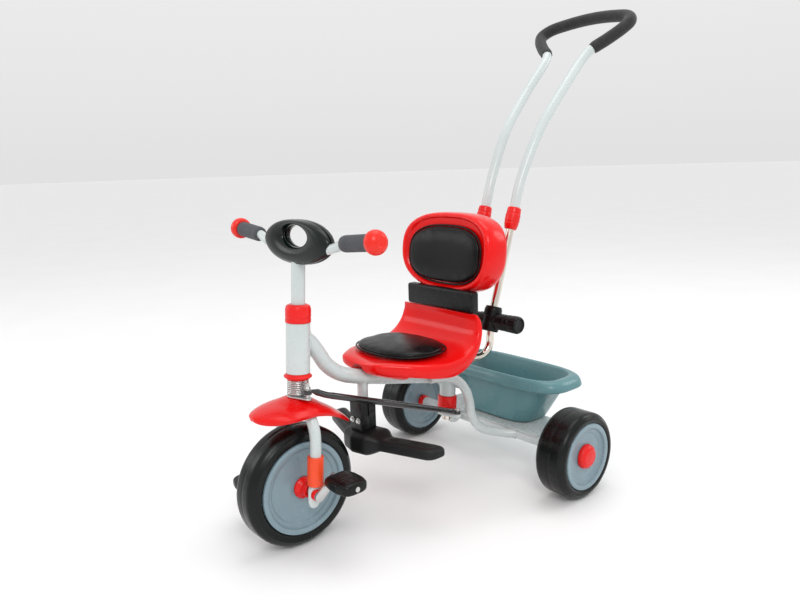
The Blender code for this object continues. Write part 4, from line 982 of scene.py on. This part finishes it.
for i in range(-4, 5):
    x = i * 0.0165
    ribs.append(sweep([(x, 0.026, 0.1030), (x, 0.064, 0.1034), (x, 0.102, 0.1030)], [0.0008, 0.0013, 0.0008], 10))
add("basket_ribs", join(*ribs), "frame", M_TUB)

# ============================================================================
#  FORK, MUDGUARD, SPRING
# ============================================================================
FB_ = "fork_and_handlebar"
LEG_X = 0.0550


def fork_leg(s):
    return [head_pt(s * 0.004, 0, 0.2420), head_pt(s * 0.022, 0, 0.2425), head_pt(s * 0.040, 0, 0.2350),
            head_pt(s * 0.0520, 0, 0.2150), head_pt(s * LEG_X, 0, 0.1930), head_pt(s * LEG_X, 0, 0.1720),
            head_pt(s * LEG_X, 0, 0.1180)]


parts = [transform(lathe([(0, 0.2340), (0.0160, 0.2340), (0.0160, 0.2545), (STEM_R, 0.2545), (STEM_R, 0.3800), (0, 0.3800)], 56, rnd=0.0012), HEAD)]
for s in (1, -1):
    parts.append(sweep(spline(fork_leg(s), 60), 0.0098, 32))
    # flattened dropout with rounded end, pressed from the tube
    prof = []
    for zc, hw, ht in ((0.1215, 0.0092, 0.0092), (0.1190, 0.0096, 0.0085), (0.1160, 0.0104, 0.0060), (0.1130, 0.0109, 0.0046),
                       (0.1060, 0.0111, 0.0044), (0.0950, 0.0111, 0.0044), (0.0890, 0.0102, 0.0044), (0.0850, 0.0080, 0.0044), (0.0832, 0.0050, 0.0040)):
        prof.append([head_pt(s * LEG_X + ht * math.copysign(abs(math.cos(a)) ** 0.6, math.cos(a)),
                             -0.0025 * min(1, (0.1215 - zc) / 0.006) + hw * math.copysign(abs(math.sin(a)) ** 0.8, math.sin(a)), zc)
                     for a in [2 * math.pi * k / 36 for k in range(36)]])
    parts.append(loft(prof))
add("fork_tubes", join(*parts), FB_, M_GREY, ["fork"])
for s, nm in ((1, "left"), (-1, "right")):
    add("leg_sleeve_" + nm, transform(lathe([(0.0099, 0.1225), (0.0137, 0.1225), (0.0141, 0.1240), (0.0141, 0.1262), (0.0136, 0.1268),
                                             (0.0136, 0.1280), (0.0141, 0.1286), (0.0141, 0.1690), (0.0136, 0.1696), (0.0136, 0.1706),
                                             (0.0140, 0.1712), (0.0138, 0.1728), (0.0132, 0.1735), (0.0099, 0.1735)], 56,
                                            origin=(s * LEG_X, 0, 0), rnd=0.0006), HEAD), FB_, M_ORANGE, ["fork_sleeve_" + nm])
    add("bush_" + nm, lathe([(0.0064, LEG_X + 0.0047), (0.0092, LEG_X + 0.0047), (0.0098, LEG_X + 0.0060), (0.0098, LEG_X + 0.0134),
                             (0.0090, LEG_X + 0.0143), (0.0064, LEG_X + 0.0143)], 48, origin=(0, FRONT_Y, FRONT_Z), axis=(s, 0, 0), rnd=0.0006),
        FB_, M_RED_SOFT, ["axle_bush_" + nm])

arm = new_object("arm_plate", transform(plate(teardrop(0.0190, 0.0070, ARM, 36), 0.2662, 0.2692), HEAD))
boolean(arm, transform(lathe(plug(STEM_R + 0.0003, 0.25, 0.30), 48), HEAD))
bevel(arm, 0.0006, 2)
apply_all(arm)
add("arm_plate", None, FB_, M_STEEL, ["steering_arm"], ob=arm)
add("arm_pin", join(transform(lathe([(0, 0.2685), (0.0030, 0.2685), (0.0030, 0.2880), (0.0030, 0.2955), (0.0024, 0.2960), (0, 0.2960)], 24, origin=(ARM, 0, 0), rnd=0.0003), HEAD),
                    transform(lathe([(0.0028, 0.2836), (0.0052, 0.2836), (0.0052, 0.2845), (0.0028, 0.2845)], 24, origin=(ARM, 0, 0), rnd=0.0002), HEAD),
                    transform(lathe([(0.0020, 0.2848), (0.0046, 0.2848), (0.0050, 0.2853), (0.0050, 0.2880), (0.0044, 0.2888), (0.0020, 0.2888)], 6, origin=(ARM, 0, 0)), HEAD)),
    FB_, M_STEEL, sharp=25)

GUARD_W = 0.0560


def guard_line(t):
    y = -0.0900 + t * 0.1980
    if y < 0:
        z = 0.2620 - 0.0170 * (-y / 0.0900) ** 1.8
    else:
        z = 0.2620 - 0.0570 * (y / 0.1080) ** 1.7
    e = abs(2 * t - 0.86) / (0.86 if t < 0.43 else 1.14)
    w = GUARD_W * max(0.0, 1 - e ** (2.6 if t < 0.43 else 1.7)) ** 0.55
    return y, z, w


def mudguard(nu, nv, thick):
    """Bell shaped guard: a collar under the spring seat, drooping lobes, a
    turned down lip all round."""
    top, bot = [], []
    for i in range(nu + 1):
        t = 0.5 - 0.5 * math.cos(math.pi * i / nu)
        y, z, w = guard_line(t)
        e = abs(2 * t - 0.86) / (0.86 if t < 0.43 else 1.14)
        w = max(w, 0.0045)
        rt, rb = [], []
        for k in range(nv + 1):
            s_ = math.sin(math.pi / 2 * (-1 + 2 * k / nv))
            x = w * s_
            drop = 0.0130 * abs(s_) ** 2.4 * (w / GUARD_W)
            d = math.hypot(x, y)
            q = min(1.0, max(0.0, (0.044 - d) / 0.026))
            up = 0.0042 * q * q * (3 - 2 * q)
            rim = max(abs(s_) ** 9, min(1.0, e) ** 14)
            lip = 0.0046 * rim if t < 0.55 else 0.0046 * rim * max(0.25, 1 - (t - 0.55) / 0.45)
            rt.append(head_pt(x, y, z - drop + up - lip * 0.25))
            rb.append(head_pt(x * (1 - min(0.5, 0.0022 / w)), y * 0.985, z - drop - thick - lip + min(up, 0.0022)))
        top.append(rt)
        bot.append(rb)
    verts, faces = [], []
    m = nv + 1
    for r in top:
        verts.extend(r)
    for r in bot:
        verts.extend(r)
    o = (nu + 1) * m
    for i in range(nu):
        for k in range(nv):
            faces.append((i * m + k, i * m + k + 1, (i + 1) * m + k + 1, (i + 1) * m + k))
            faces.append((o + i * m + k, o + (i + 1) * m + k, o + (i + 1) * m + k + 1, o + i * m + k + 1))
    for i in range(nu):
        faces.append((i * m, (i + 1) * m, o + (i + 1) * m, o + i * m))
        faces.append((i * m + nv, o + i * m + nv, o + (i + 1) * m + nv, (i + 1) * m + nv))
    for k in range(nv):
        faces.append((k, o + k, o + k + 1, k + 1))
        e = nu * m
        faces.append((e + k, e + k + 1, o + e + k + 1, o + e + k))
    return verts, faces


guard = new_object("guard_moulding", mudguard(84, 48, 0.0028))
boolean(guard, transform(lathe(plug(STEM_R + 0.0003, 0.23, 0.30), 48), HEAD))
bevel(guard, 0.0010, 3, 50)
apply_all(guard, 40)
add("guard_moulding", None, FB_, M_RED, ["mudguard"], ob=guard)

SP_LO, SP_HI, SP_R = 0.2706, 0.2956, 0.0178
coil = []
TURNS, NS = 8.0, 8 * 48
for i in range(NS + 1):
    q = i / NS
    a = 2 * math.pi * TURNS * q
    # closed end coils, open in between
    h = SP_LO + (SP_HI - SP_LO) * (q - 0.012 * math.sin(2 * math.pi * q))
    coil.append(head_pt(SP_R * math.cos(a), SP_R * math.sin(a), h))
spring = add("coil_spring", sweep(coil, 0.00112, 10), FB_, M_SPRING, ["suspension_spring"], sharp=80)
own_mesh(spring)

add("lower_bush", transform(lathe([(STEM_R + 0.0003, 0.2970), (0.0196, 0.2970), (0.0206, 0.2978), (0.0212, 0.2992), (0.0243, 0.3010),
                                   (0.0245, 0.3022), (0.0243, 0.3034), (0.0212, 0.3052), (0.0210, HEAD_LO - 0.0003), (STEM_R + 0.0003, HEAD_LO - 0.0003)],
                                  80, rnd=0.0005), HEAD), "steering_bush", M_RED_SOFT, ["head_bush_lower"])

# ============================================================================
#  HANDLEBAR
# ============================================================================
BAR_R = 0.0080
BAR_PATH = [(0.2000, 0.0030, 0.5450), (0.1500, 0.0022, 0.5410), (0.1260, 0.0016, 0.5380),
            (0.1080, 0.0008, 0.5310), (0.0780, 0.0, 0.5240), (0.0400, 0.0, 0.5145), (0.0, 0.0, 0.5110)]
BAR_PATH = BAR_PATH + [(-x, y, z) for x, y, z in reversed(BAR_PATH[:-1])]
bar_pts = [head_pt(*p) for p in BAR_PATH]
add("bar_and_stem", join(sweep(spline(bar_pts, 150), BAR_R, 32),
                         transform(lathe(plug(STEM_R, 0.3803, 0.5085), 48, rnd=0.001), HEAD)), FB_, M_GREY, ["handlebar"])

EYE_A, EYE_B, EYE_Z = 0.0965, 0.0378, 0.5330
HOLE_A, HOLE_B, HOLE_Z = 0.0380, 0.0185, 0.5430
EYE_T = 0.0160


def eye_point(a, r):
    c, s_ = math.cos(a), math.sin(a)
    xo = EYE_A * math.copysign(abs(c) ** 0.92, c)
    zo = EYE_Z + EYE_B * math.copysign(abs(s_) ** 1.10, s_)
    xi, zi = HOLE_A * c, HOLE_Z + HOLE_B * s_
    return xi + (xo - xi) * r, zi + (zo - zi) * r


def eye(half, n=144):
    rows_ = []
    for r, h in rounded([(1.0, 0.0), (0.985, 0.42), (0.80, 0.85), (0.45, 1.0), (0.12, 0.82), (0.0, 0.42), (0.0, 0.0)], 0.20, 6):
        rows_.append((r, h))
    verts, faces = [], []
    for r, h in rows_:
        for k in range(n):
            a = 2 * math.pi * k / n
            x, z = eye_point(a, r)
            verts.append(head_pt(x, half * (0.0003 + EYE_T * h), z))
    m = len(rows_)
    for i in range(m):
        for k in range(n):
            k2 = (k + 1) % n
            i2 = (i + 1) % m
            faces.append((i * n + k, i * n + k2, i2 * n + k2, i2 * n + k))
    return verts, faces


for half, nm in ((-1, "front"), (1, "back")):
    add("bar_cover_" + nm, eye(half), FB_, M_COVER, ["handlebar_cover_" + nm], sharp=60)
screws = []
for x, z in ((0.060, 0.540), (-0.060, 0.540)):
    o = head_pt(x, 0.0003 + EYE_T * 0.93, z)
    screws.append(lathe([(0, -0.002), (0.0040, -0.002), (0.0040, 0.0006), (0.0030, 0.0016), (0, 0.0019)], 32, origin=o, axis=HEAD.to_3x3() @ Vector((0, 1, 0)), rnd=0.0004))
add("cover_screws", join(*screws), FB_, M_STEEL)

for s, nm in ((1, "left"), (-1, "right")):
    g0, g1 = head_pt(s * 0.1255, 0.0016, 0.5380), head_pt(s * 0.1930, 0.0029, 0.5444)
    d = g1 - g0
    L = d.length
    prof = [(0.0083, 0), (0.0105, 0), (0.0128, 0.0022), (0.0134, 0.0060)]
    z = 0.0110
    while z < L - 0.0100:
        prof += [(0.0135, z), (0.0135, z + 0.0016), (0.0131, z + 0.0021), (0.0131, z + 0.0027)]
        z += 0.0032
    prof += [(0.0135, z + 0.0006), (0.0135, L - 0.0010), (0.0128, L), (0.0083, L)]
    add("hand_grip_" + nm, lathe(prof, 72, origin=g0, axis=d, rnd=0.0004, nr=2), FB_, M_GRIP, ["grip_" + nm], sharp=60)
    e0 = g1 + d.normalized() * 0.0003
    add("grip_ball_" + nm, lathe([(0, 0), (0.0150, 0), (0.0183, 0.0018), (0.0196, 0.0070), (0.0190, 0.0130), (0.0160, 0.0185), (0.0115, 0.0218),
                                  (0.0085, 0.0226), (0.0072, 0.0220), (0, 0.0222)], 80, origin=e0, axis=d, rnd=0.0035, nr=6), FB_, M_CAP,
        ["grip_end_" + nm], sharp=60)

# ============================================================================
#  WHEELS
# ============================================================================
def tyre(R, w, ri, sh, o, s=1, seg=160):
    h = w / 2
    prof = [(ri + 0.0003, -h + 0.0022), (ri + 0.0030, -h + 0.0008), (ri + 0.0050, -h + 0.0000), (R - sh * 0.86, -h + 0.0002), (R - sh * 0.70, -h + 0.0010),
            (R - sh * 0.66, -h + 0.0018), (R - sh * 0.34, -h + sh * 0.36), (R - sh * 0.10, -h + sh * 0.66), (R - 0.0002, -h + sh * 0.98),
            (R, -h * 0.15), (R - 0.0004, -0.0010), (R - 0.0004, 0.0010), (R, h * 0.15),
            (R - 0.0002, h - sh * 0.98), (R - sh * 0.10, h - sh * 0.66), (R - sh * 0.34, h - sh * 0.36), (R - sh * 0.66, h - 0.0018),
            (R - sh * 0.70, h - 0.0010), (R - sh * 0.86, h - 0.0002), (ri + 0.0050, h), (ri + 0.0030, h - 0.0008), (ri + 0.0003, h - 0.0022)]
    return lathe(prof, seg, origin=o, axis=(s, 0, 0), rnd=0.0016, nr=3)


def disc(ri, h, bore, dish, o, s=1, seg=144, boss=0.026):
    """Moulded wheel centre: rounded rim ring, groove, stepped dish with a boss."""
    half = [(ri - 0.0002, 0.0), (ri - 0.0002, h - 0.0016), (ri - 0.0014, h - 0.0002), (ri - 0.0040, h), (ri - 0.0082, h - 0.0002), (ri - 0.0100, h - 0.0016),
            (ri - 0.0106, h - 0.0055), (ri - 0.0120, h - 0.0066), (ri - 0.0165, h - 0.0066), (ri - 0.0185, h - 0.0076), (ri - 0.0200, h - dish + 0.0004),
            (ri - 0.0225, h - dish), (boss + 0.010, h - dish - 0.0004), (boss + 0.002, h - dish), (boss, h - dish + 0.0001), (bore, h - dish + 0.0001)]
    prof = [(r, z) for r, z in half] + [(r, -z) for r, z in reversed(half)]
    return lathe(prof, seg, origin=o, axis=(s, 0, 0), rnd=0.0007, nr=2)


FR_I, FR_H, FR_D = 0.0830, 0.0310, 0.0100
fo = (0, FRONT_Y, FRONT_Z)
add("front_tread", tyre(FRONT_R, FRONT_W, FR_I, 0.0145, fo), "front_wheel", M_TYRE, ["front_tyre"], sharp=60)
add("front_disc", disc(FR_I, FR_H, 0.0065, FR_D, fo), "front_wheel", M_DISC, ["front_rim"], sharp=50)
for s, nm in ((1, "left"), (-1, "right")):
    h = FR_H - FR_D + 0.0003
    parts = [lathe([(0.0065, h), (0.0185, h), (0.0195, h + 0.0012), (0.0190, h + 0.0045), (0.0140, h + 0.0085), (0.0122, h + 0.0110),
                    (0.0120, h + 0.0210), (0.0112, h + 0.0220), (0.0065, h + 0.0220)], 64, origin=fo, axis=(s, 0, 0), rnd=0.0010)]
    for k in range(6):
        a = math.pi / 3 * k + 0.3
        c, sn = math.cos(a), math.sin(a)
        parts.append(sweep([(s * (h + 0.0060), FRONT_Y + c * 0.0175, FRONT_Z + sn * 0.0175), (s * (h + 0.0120), FRONT_Y + c * 0.0120, FRONT_Z + sn * 0.0120)],
                           [0.0012, 0.0010], 8))
    add("wheel_hub_" + nm, join(*parts), "front_wheel", M_RED_SOFT, ["front_hub_" + nm], sharp=40)

CR, CR_A, CRX = 0.0400, math.radians(40.0), LEG_X + 0.0148
cr_dir = Vector((0, math.cos(CR_A), math.sin(CR_A)))
up = Vector((0, -cr_dir.z, cr_dir.y))
crank_parts = [lathe(plug(0.0062, -CRX - 0.0050, CRX + 0.0050), 36, origin=fo, axis=(1, 0, 0), rnd=0.0008)]
for s, nm in ((1, "left"), (-1, "right")):
    c0 = Vector(fo)
    c1 = c0 + cr_dir * (CR * s)
    secs = []
    for e, xo in ((0.90, 0.0), (1.0, 0.0006), (1.0, 0.0049), (0.90, 0.0055)):
        out = []
        for k in range(25):
            a = math.pi / 2 + math.pi * k / 24
            out.append(c0 + (cr_dir * s * math.cos(a) + up * math.sin(a)) * 0.0092 * e + Vector((s * (CRX + xo), 0, 0)))
        for k in range(25):
            a = -math.pi / 2 + math.pi * k / 24
            out.append(c1 + (cr_dir * s * math.cos(a) + up * math.sin(a)) * 0.0078 * e + Vector((s * (CRX + xo), 0, 0)))
        secs.append(out)
    crank_parts.append(loft(secs))
    crank_parts.append(lathe(plug(0.0045, CRX + 0.001, CRX + 0.0055 + 0.0650), 28, origin=c1, axis=(s, 0, 0), rnd=0.0006))
    crank_parts.append(lathe([(0.0, CRX + 0.0055), (0.0070, CRX + 0.0055), (0.0072, CRX + 0.0060), (0.0060, CRX + 0.0068), (0, CRX + 0.0068)], 28, origin=c1, axis=(s, 0, 0)))
    # pedal: a thick moulded body, widest in the middle, with a ribbed tread both sides
    px0, px1 = CRX + 0.0055 + 0.0020, CRX + 0.0055 + 0.0630
    py, pz = c1.y, c1.z
    secs = []
    plan = [(0.0, 0.0190), (0.025, 0.0240), (0.14, 0.0262), (0.34, 0.0289), (0.66, 0.0289), (0.90, 0.0245), (0.975, 0.0205), (1.0, 0.0150)]
    for i in range(45):
        q = 0.5 - 0.5 * math.cos(math.pi * i / 44)
        x = s * (px0 + (px1 - px0) * q)
        for (q0, w0), (q1, w1) in zip(plan, plan[1:]):
            if q0 <= q <= q1 + 1e-9:
                wid = w0 + (w1 - w0) * (q - q0) / (q1 - q0)
                break
        e = max(0.0, 1.0 - abs(2 * q - 1) ** 9)
        hh = 0.0065 + 0.0044 * e ** 0.6
        secs.append([(x, py + u, pz + v) for u, v in superellipse(wid, min(hh, 0.0109), 3.4, 64)])
    if s < 0:
        secs = list(reversed(secs))
    pedal = [loft(secs)]
    add("pedal_body_" + nm, join(*pedal), "pedal_" + nm, M_BLACK, ["pedal_" + nm], sharp=50)
    tread = []
    for side in (1, -1):
        for i in range(7):
            x = s * (px0 + 0.011 + i * 0.0065)
            tread.append(sweep([(x, py - 0.0165, pz + side * 0.0100), (x, py, pz + side * 0.0106), (x, py + 0.0165, pz + side * 0.0100)], [0.0007, 0.0013, 0.0007], 8))
    add("pedal_tread_" + nm, join(*tread), "pedal_" + nm, M_BLACK_TEX)
add("crank_steel", join(*crank_parts), "front_wheel", M_STEEL, ["crank_axle"])

RR_I, RR_H, RR_D = 0.0665, 0.0345, 0.0100
for s, nm in ((1, "left"), (-1, "right")):
    ro = (s * REAR_X, 0, AXLE_Z)
    bd = "rear_wheel_" + nm
    add("rear_tread_" + nm, tyre(REAR_R, REAR_W, RR_I, 0.0120, ro, s), bd, M_TYRE, ["rear_tyre_" + nm], sharp=60)
    add("rear_disc_" + nm, disc(RR_I, RR_H - 0.0005, 0.0053, RR_D - 0.0005, ro, s, boss=0.022), bd, M_DISC, ["rear_rim_" + nm], sharp=50)
    h = RR_H - RR_D + 0.0003
    add("hub_cap_" + nm, lathe([(0, h), (0.0235, h), (0.0245, h + 0.0016), (0.0242, h + 0.0048), (0.0228, h + 0.0088), (0.0190, h + 0.0124),
                                (0.0140, h + 0.0144), (0.0120, h + 0.0138), (0.0100, h + 0.0143), (0, h + 0.0150)], 80, origin=ro, axis=(s, 0, 0), rnd=0.0012),
        bd, M_RED_SOFT, ["rear_hub_cap_" + nm], sharp=50)
    add("spacer_" + nm, lathe([(0.0053, 0.1934), (0.0132, 0.1934), (0.0140, 0.1944), (0.0140, 0.2050), (0.0130, 0.2064), (0.0053, 0.2064)], 48,
                              origin=(0, 0, AXLE_Z), axis=(s, 0, 0), rnd=0.0006), "frame", M_RED_SOFT, ["axle_spacer_" + nm])

# ============================================================================
#  PUSH HANDLE
# ============================================================================
def push_line(x, z):
    return Vector((x, -0.028 + (z - 0.320) * math.tan(PUSH_LEAN), z))


TOP_Z, UP0 = 0.5920, 0.5400
low_path = [push_line(PUSH_X, TOP_Z), push_line(PUSH_X, 0.50), push_line(PUSH_X, 0.40), push_line(PUSH_X, 0.330),
            (PUSH_X, -0.0290, 0.300), (PUSH_X, -0.0320, 0.2760), (PUSH_X - 0.0015, -0.0470, 0.2595),
            (0.0330, -0.0780, 0.2550), (0.0160, -0.1040, 0.2545), (0.0, -0.1112, 0.2545)]
low_path = [Vector(p) for p in low_path]
full = low_path + [Vector((-p.x, p.y, p.z)) for p in reversed(low_path[:-1])]
add("chrome_tubes", join(sweep(spline(full, 260), PUSH_LOW_R, 32),
                         transform(lathe(plug(0.0100, 0.1270, 0.2560), 40, rnd=0.001), POST),
                         transform(weld_bead([Vector((0.0102 * math.cos(2 * math.pi * k / 60), 0.0102 * math.sin(2 * math.pi * k / 60), 0.2475)) for k in range(60)], 0.0015), POST)),
    "push_frame", M_CHROME, ["push_tube_lower"])

cp = new_object("crank_plate", transform(plate(teardrop(0.0190, 0.0085, ARM, 36), 0.1385, 0.1450), POST))
boolean(cp, transform(lathe(plug(0.0030, 0.12, 0.20), 24, origin=(ARM, 0, 0)), POST))
bevel(cp, 0.0016, 4)
apply_all(cp)
add("crank_plate", None, "push_frame", M_GREY, ["steering_crank"], ob=cp)

YK = push_line(0, 0.3280)
parts = [lathe([(0, -0.0640), (0.0150, -0.0640), (0.0150, -0.0120), (0.0135, -0.0100), (0.0135, 0.0100), (0.0150, 0.0120), (0.0150, 0.0570), (0.0171, 0.0600), (0.0171, 0.0830), (0, 0.0830)], 56, origin=YK, axis=(1, 0, 0), rnd=0.0020)]
for s in (1, -1):
    a, b = push_line(s * PUSH_X, 0.3060), push_line(s * PUSH_X, 0.3560)
    parts.append(lathe([(0, 0), (0.0165, 0), (0.0185, 0.002), (0.0185, 0.0160), (0.0178, 0.0172), (0.0178, 0.0300), (0.0185, 0.0312), (0.0185, 0.0450), (0.0160, 0.0525), (0, 0.0525)], 56,
                       origin=a, axis=(b - a), rnd=0.0014))
add("yoke_body", join(*parts), "push_frame", M_BLACK, ["push_yoke"])
KO = YK + Vector((0.0850, 0, 0))
kp = [lathe([(0, -0.0017), (0.0158, -0.0017), (0.0175, 0.0008), (0.0175, 0.0084), (0.0166, 0.0094), (0.0166, 0.0106), (0.0175, 0.0118), (0.0175, 0.0276), (0.0160, 0.0306),
             (0.0138, 0.0318), (0.0122, 0.0310), (0.0112, 0.0285), (0, 0.0285)], 72, origin=KO, axis=(1, 0, 0), rnd=0.0012)]
for k in range(18):
    a = 2 * math.pi * k / 18
    c, sn = math.cos(a), math.sin(a)
    kp.append(sweep([KO + Vector((0.0135, c * 0.0172, sn * 0.0172)), KO + Vector((0.0268, c * 0.0172, sn * 0.0172))], 0.0008, 8))
add("hand_knob", join(*kp), "yoke_knob", M_BLACK, ["yoke_knob"])

up_half = [push_line(PUSH_X, UP0), push_line(PUSH_X, 0.602), (0.0420, 0.0790, 0.6370), (0.0465, 0.1225, 0.7150),
           (0.0500, 0.1970, 0.8010), (0.0540, 0.2720, 0.8760), (0.0620, 0.2850, 0.8880), (0.0860, 0.3020, 0.9050),
           (0.1110, 0.3240, 0.9270), (0.1180, 0.3390, 0.9410), (0.1040, 0.3540, 0.9540), (0.0600, 0.3650, 0.9630),
           (0.0, 0.3700, 0.9670)]
up_half = [Vector(p) for p in up_half]
up_full = up_half + [Vector((-p.x, p.y, p.z)) for p in reversed(up_half[:-1])]
up_pts = spline(up_full, 420)
add("handle_tube", sweep(up_pts, PUSH_R, 32), "push_handle", M_GREY, ["push_tube_upper"])
gi = [i for i, p in enumerate(up_pts) if p.z > 0.8860]
gpts = up_pts[gi[0]:gi[-1] + 1]
ng = len(gpts)
rad = []
for i in range(ng):
    e = min(i, ng - 1 - i)
    rad.append(0.0116 + 0.0017 * min(1.0, (e / 3.0)) ** 0.5)
add("foam_sleeve", sweep(gpts, rad, 36), "push_handle", M_FOAM, ["push_grip"], sharp=60)
for s, nm in ((1, "left"), (-1, "right")):
    a = push_line(s * PUSH_X, 0.5120)
    cl = push_line(s * PUSH_X, UP0 + 0.0160) - a
    L = cl.length
    parts = [lathe([(PUSH_LOW_R + 0.0003, 0), (0.0115, 0), (0.0128, 0.002), (0.0146, 0.0100), (0.0150, 0.0125), (0.0146, 0.0135), (0.0146, 0.0150), (0.0155, 0.0165),
                    (0.0155, L - 0.0150), (0.0146, L - 0.0138), (0.0146, L - 0.0124), (0.0150, L - 0.0110), (0.0140, L - 0.002), (0.0130, L), (PUSH_R + 0.0004, L),
                    (PUSH_R + 0.0004, L - 0.0040), (PUSH_LOW_R + 0.0003, L - 0.0060)], 64, origin=a, axis=cl, rnd=0.0008)]
    add("lock_collar_" + nm, join(*parts), "push_frame", M_RED_SOFT, ["push_collar_" + nm], sharp=45)

rz0, rz1 = 0.1490, 0.2790
ra, rb = post_pt(ARM, 0, rz0), head_pt(ARM, 0, rz1)
rdir = (rb - ra).normalized()
rlen = (rb - ra).length
rod_pts, rr = [], []
NP = 140
for i in range(NP):
    q = 0.0066 + (rlen - 0.0132) * i / (NP - 1)
    d = rlen - q                          # distance from the front eye
    if q < d:
        t = min(1.0, max(0.0, (q - 0.0066) / 0.0100))
    else:
        t = min(1.0, max(0.0, (d - 0.0105) / 0.0120))
    t = t * t * (3 - 2 * t)
    r = 0.0034 + 0.0026 * t
    e = min(q, d)
    if 0.024 < e < 0.062 and int(e / 0.0014) % 2:
        r -= 0.0004                       # adjuster thread next to each eye
    # the front end runs level out of its eye, clear of the arm plate
    if d < 0.0105:
        h = 0.33 * d
    else:
        k = min(1.0, (d - 0.0105) / 0.0345)
        h = 0.0035 * (1 - k) ** 2 * (1 + 2 * k)
    rod_pts.append(ra + rdir * q + Vector((0, 0, h)))
    rr.append(r)
add("link_rod", join(sweep(rod_pts, rr, 28),
                     transform(lathe(tube(0.0032, 0.0072, rz0 - 0.0033, rz0 + 0.0033), 36, origin=(ARM, 0, 0), rnd=0.0008), POST),
                     transform(lathe(tube(0.0035, 0.0072, rz1 - 0.0033, rz1 + 0.0033), 36, origin=(ARM, 0, 0), rnd=0.0008), HEAD)),
    "steering_rod", M_ROD, ["steering_rod"])
add("rod_pivot_bolt", join(transform(lathe(plug(0.0029, 0.1352, rz0 + 0.0040), 24, origin=(ARM, 0, 0), rnd=0.0003), POST),
                           transform(hex_bolt((ARM, 0, rz0 + 0.0037), (0, 0, 1), 0.0095, 0.0041, 1.0), POST)),
    "push_frame", M_STEEL, ["rod_bolt"], sharp=25)

# ============================================================================
#  STAGE
# ============================================================================
fm = bpy.data.materials.new("studio_floor")
fm.use_nodes = True
nt = fm.node_tree
fp = nt.nodes.get("Principled BSDF")
tc = nt.nodes.new("ShaderNodeTexCoord")
col = mix(nt, ramp(nt, noise(nt, tc.outputs["Object"], 3.0, 3.0), [(0.3, 0.0), (0.7, 1.0)]), (0.88, 0.88, 0.88), (0.90, 0.90, 0.90))
nt.links.new(col, fp.inputs["Base Color"])
nt.links.new(ramp(nt, noise(nt, tc.outputs["Object"], 40.0, 3.0), [(0.3, 0.55), (0.7, 0.65)]), fp.inputs["Roughness"])
bump(nt, fp, noise(nt, tc.outputs["Object"], 250.0, 2.0), 0.05, 0.0005)
# wide round floor, flat all the way
fv, ff = [Vector((0, 0, -0.0004)) - SH], []
rr_ = [0.3, 0.7, 1.5, 3.0, 6.0, 12.0, 24.0, 40.0]
for r in rr_:
    for k in range(96):
        a = 2 * math.pi * k / 96
        fv.append(Vector((r * math.cos(a), r * math.sin(a), -0.0004)) - SH)
for k in range(96):
    ff.append((0, 1 + k, 1 + (k + 1) % 96))
for i in range(len(rr_) - 1):
    for k in range(96):
        k2 = (k + 1) % 96
        ff.append((1 + i * 96 + k, 1 + (i + 1) * 96 + k, 1 + (i + 1) * 96 + k2, 1 + i * 96 + k2))
floor = new_object("studio_floor_disc", (fv, ff), 80)
floor.data.materials.append(fm)

cam_d = bpy.data.cameras.new("camera")
cam_d.sensor_width = 36.0
cam_d.lens = 31.95
cam_d.clip_start = 0.05
cam_d.dof.use_dof = False
cam = bpy.data.objects.new("camera", cam_d)
bpy.context.scene.collection.objects.link(cam)
A, E, R = math.radians(49.2832), math.radians(11.2099), math.radians(-1.7207)
d = Vector((-math.sin(A) * math.cos(E), math.cos(A) * math.cos(E), -math.sin(E)))
rt = Vector((math.cos(A), math.sin(A), 0))
u = rt.cross(d)
rt2 = rt * math.cos(R) + u * math.sin(R)
u2 = -rt * math.sin(R) + u * math.cos(R)
m = Matrix((rt2, u2, -d)).transposed().to_4x4()
m.translation = Vector((1.0104, -1.1095 + YS, 0.6625))
cam.matrix_world = m
bpy.context.scene.camera = cam


def area(name, loc, target, size, power, color=(1, 1, 1)):
    l = bpy.data.lights.new(name, 'AREA')
    l.shape = 'RECTANGLE'
    l.size, l.size_y = size
    l.energy = power
    l.color = color
    o = bpy.data.objects.new(name, l)
    o.location = loc
    o.rotation_euler = (Vector(target) - Vector(loc)).to_track_quat('-Z', 'Y').to_euler()
    bpy.context.scene.collection.objects.link(o)
    return o


area("key_softbox", (2.0, -1.6, 2.4), (0, 0, 0.35), (1.0, 1.0), 26)
area("fill_softbox", (-2.4, -2.2, 1.6), (0, 0, 0.35), (1.2, 1.2), 9)
area("top_softbox", (0.0, 0.4, 3.2), (0, 0, 0.2), (1.8, 1.8), 20)
area("back_softbox", (1.4, 2.6, 2.0), (0, 0, 0.4), (1.0, 1.4), 13)
w = bpy.data.worlds.new("studio_air")
bpy.context.scene.world = w
w.use_nodes = True
wn = w.node_tree
bg = wn.nodes["Background"]
wtc = wn.nodes.new("ShaderNodeTexCoord")
wsep = wn.nodes.new("ShaderNodeSeparateXYZ")
wn.links.new(wtc.outputs["Generated"], wsep.inputs[0])
wn.links.new(ramp(wn, wsep.outputs["Z"], [(0.0, 0.80), (0.10, 0.84), (0.45, 0.96)]), bg.inputs["Color"])
bg.inputs["Strength"].default_value = 0.95
bpy.context.scene.view_settings.view_transform = 'Standard'
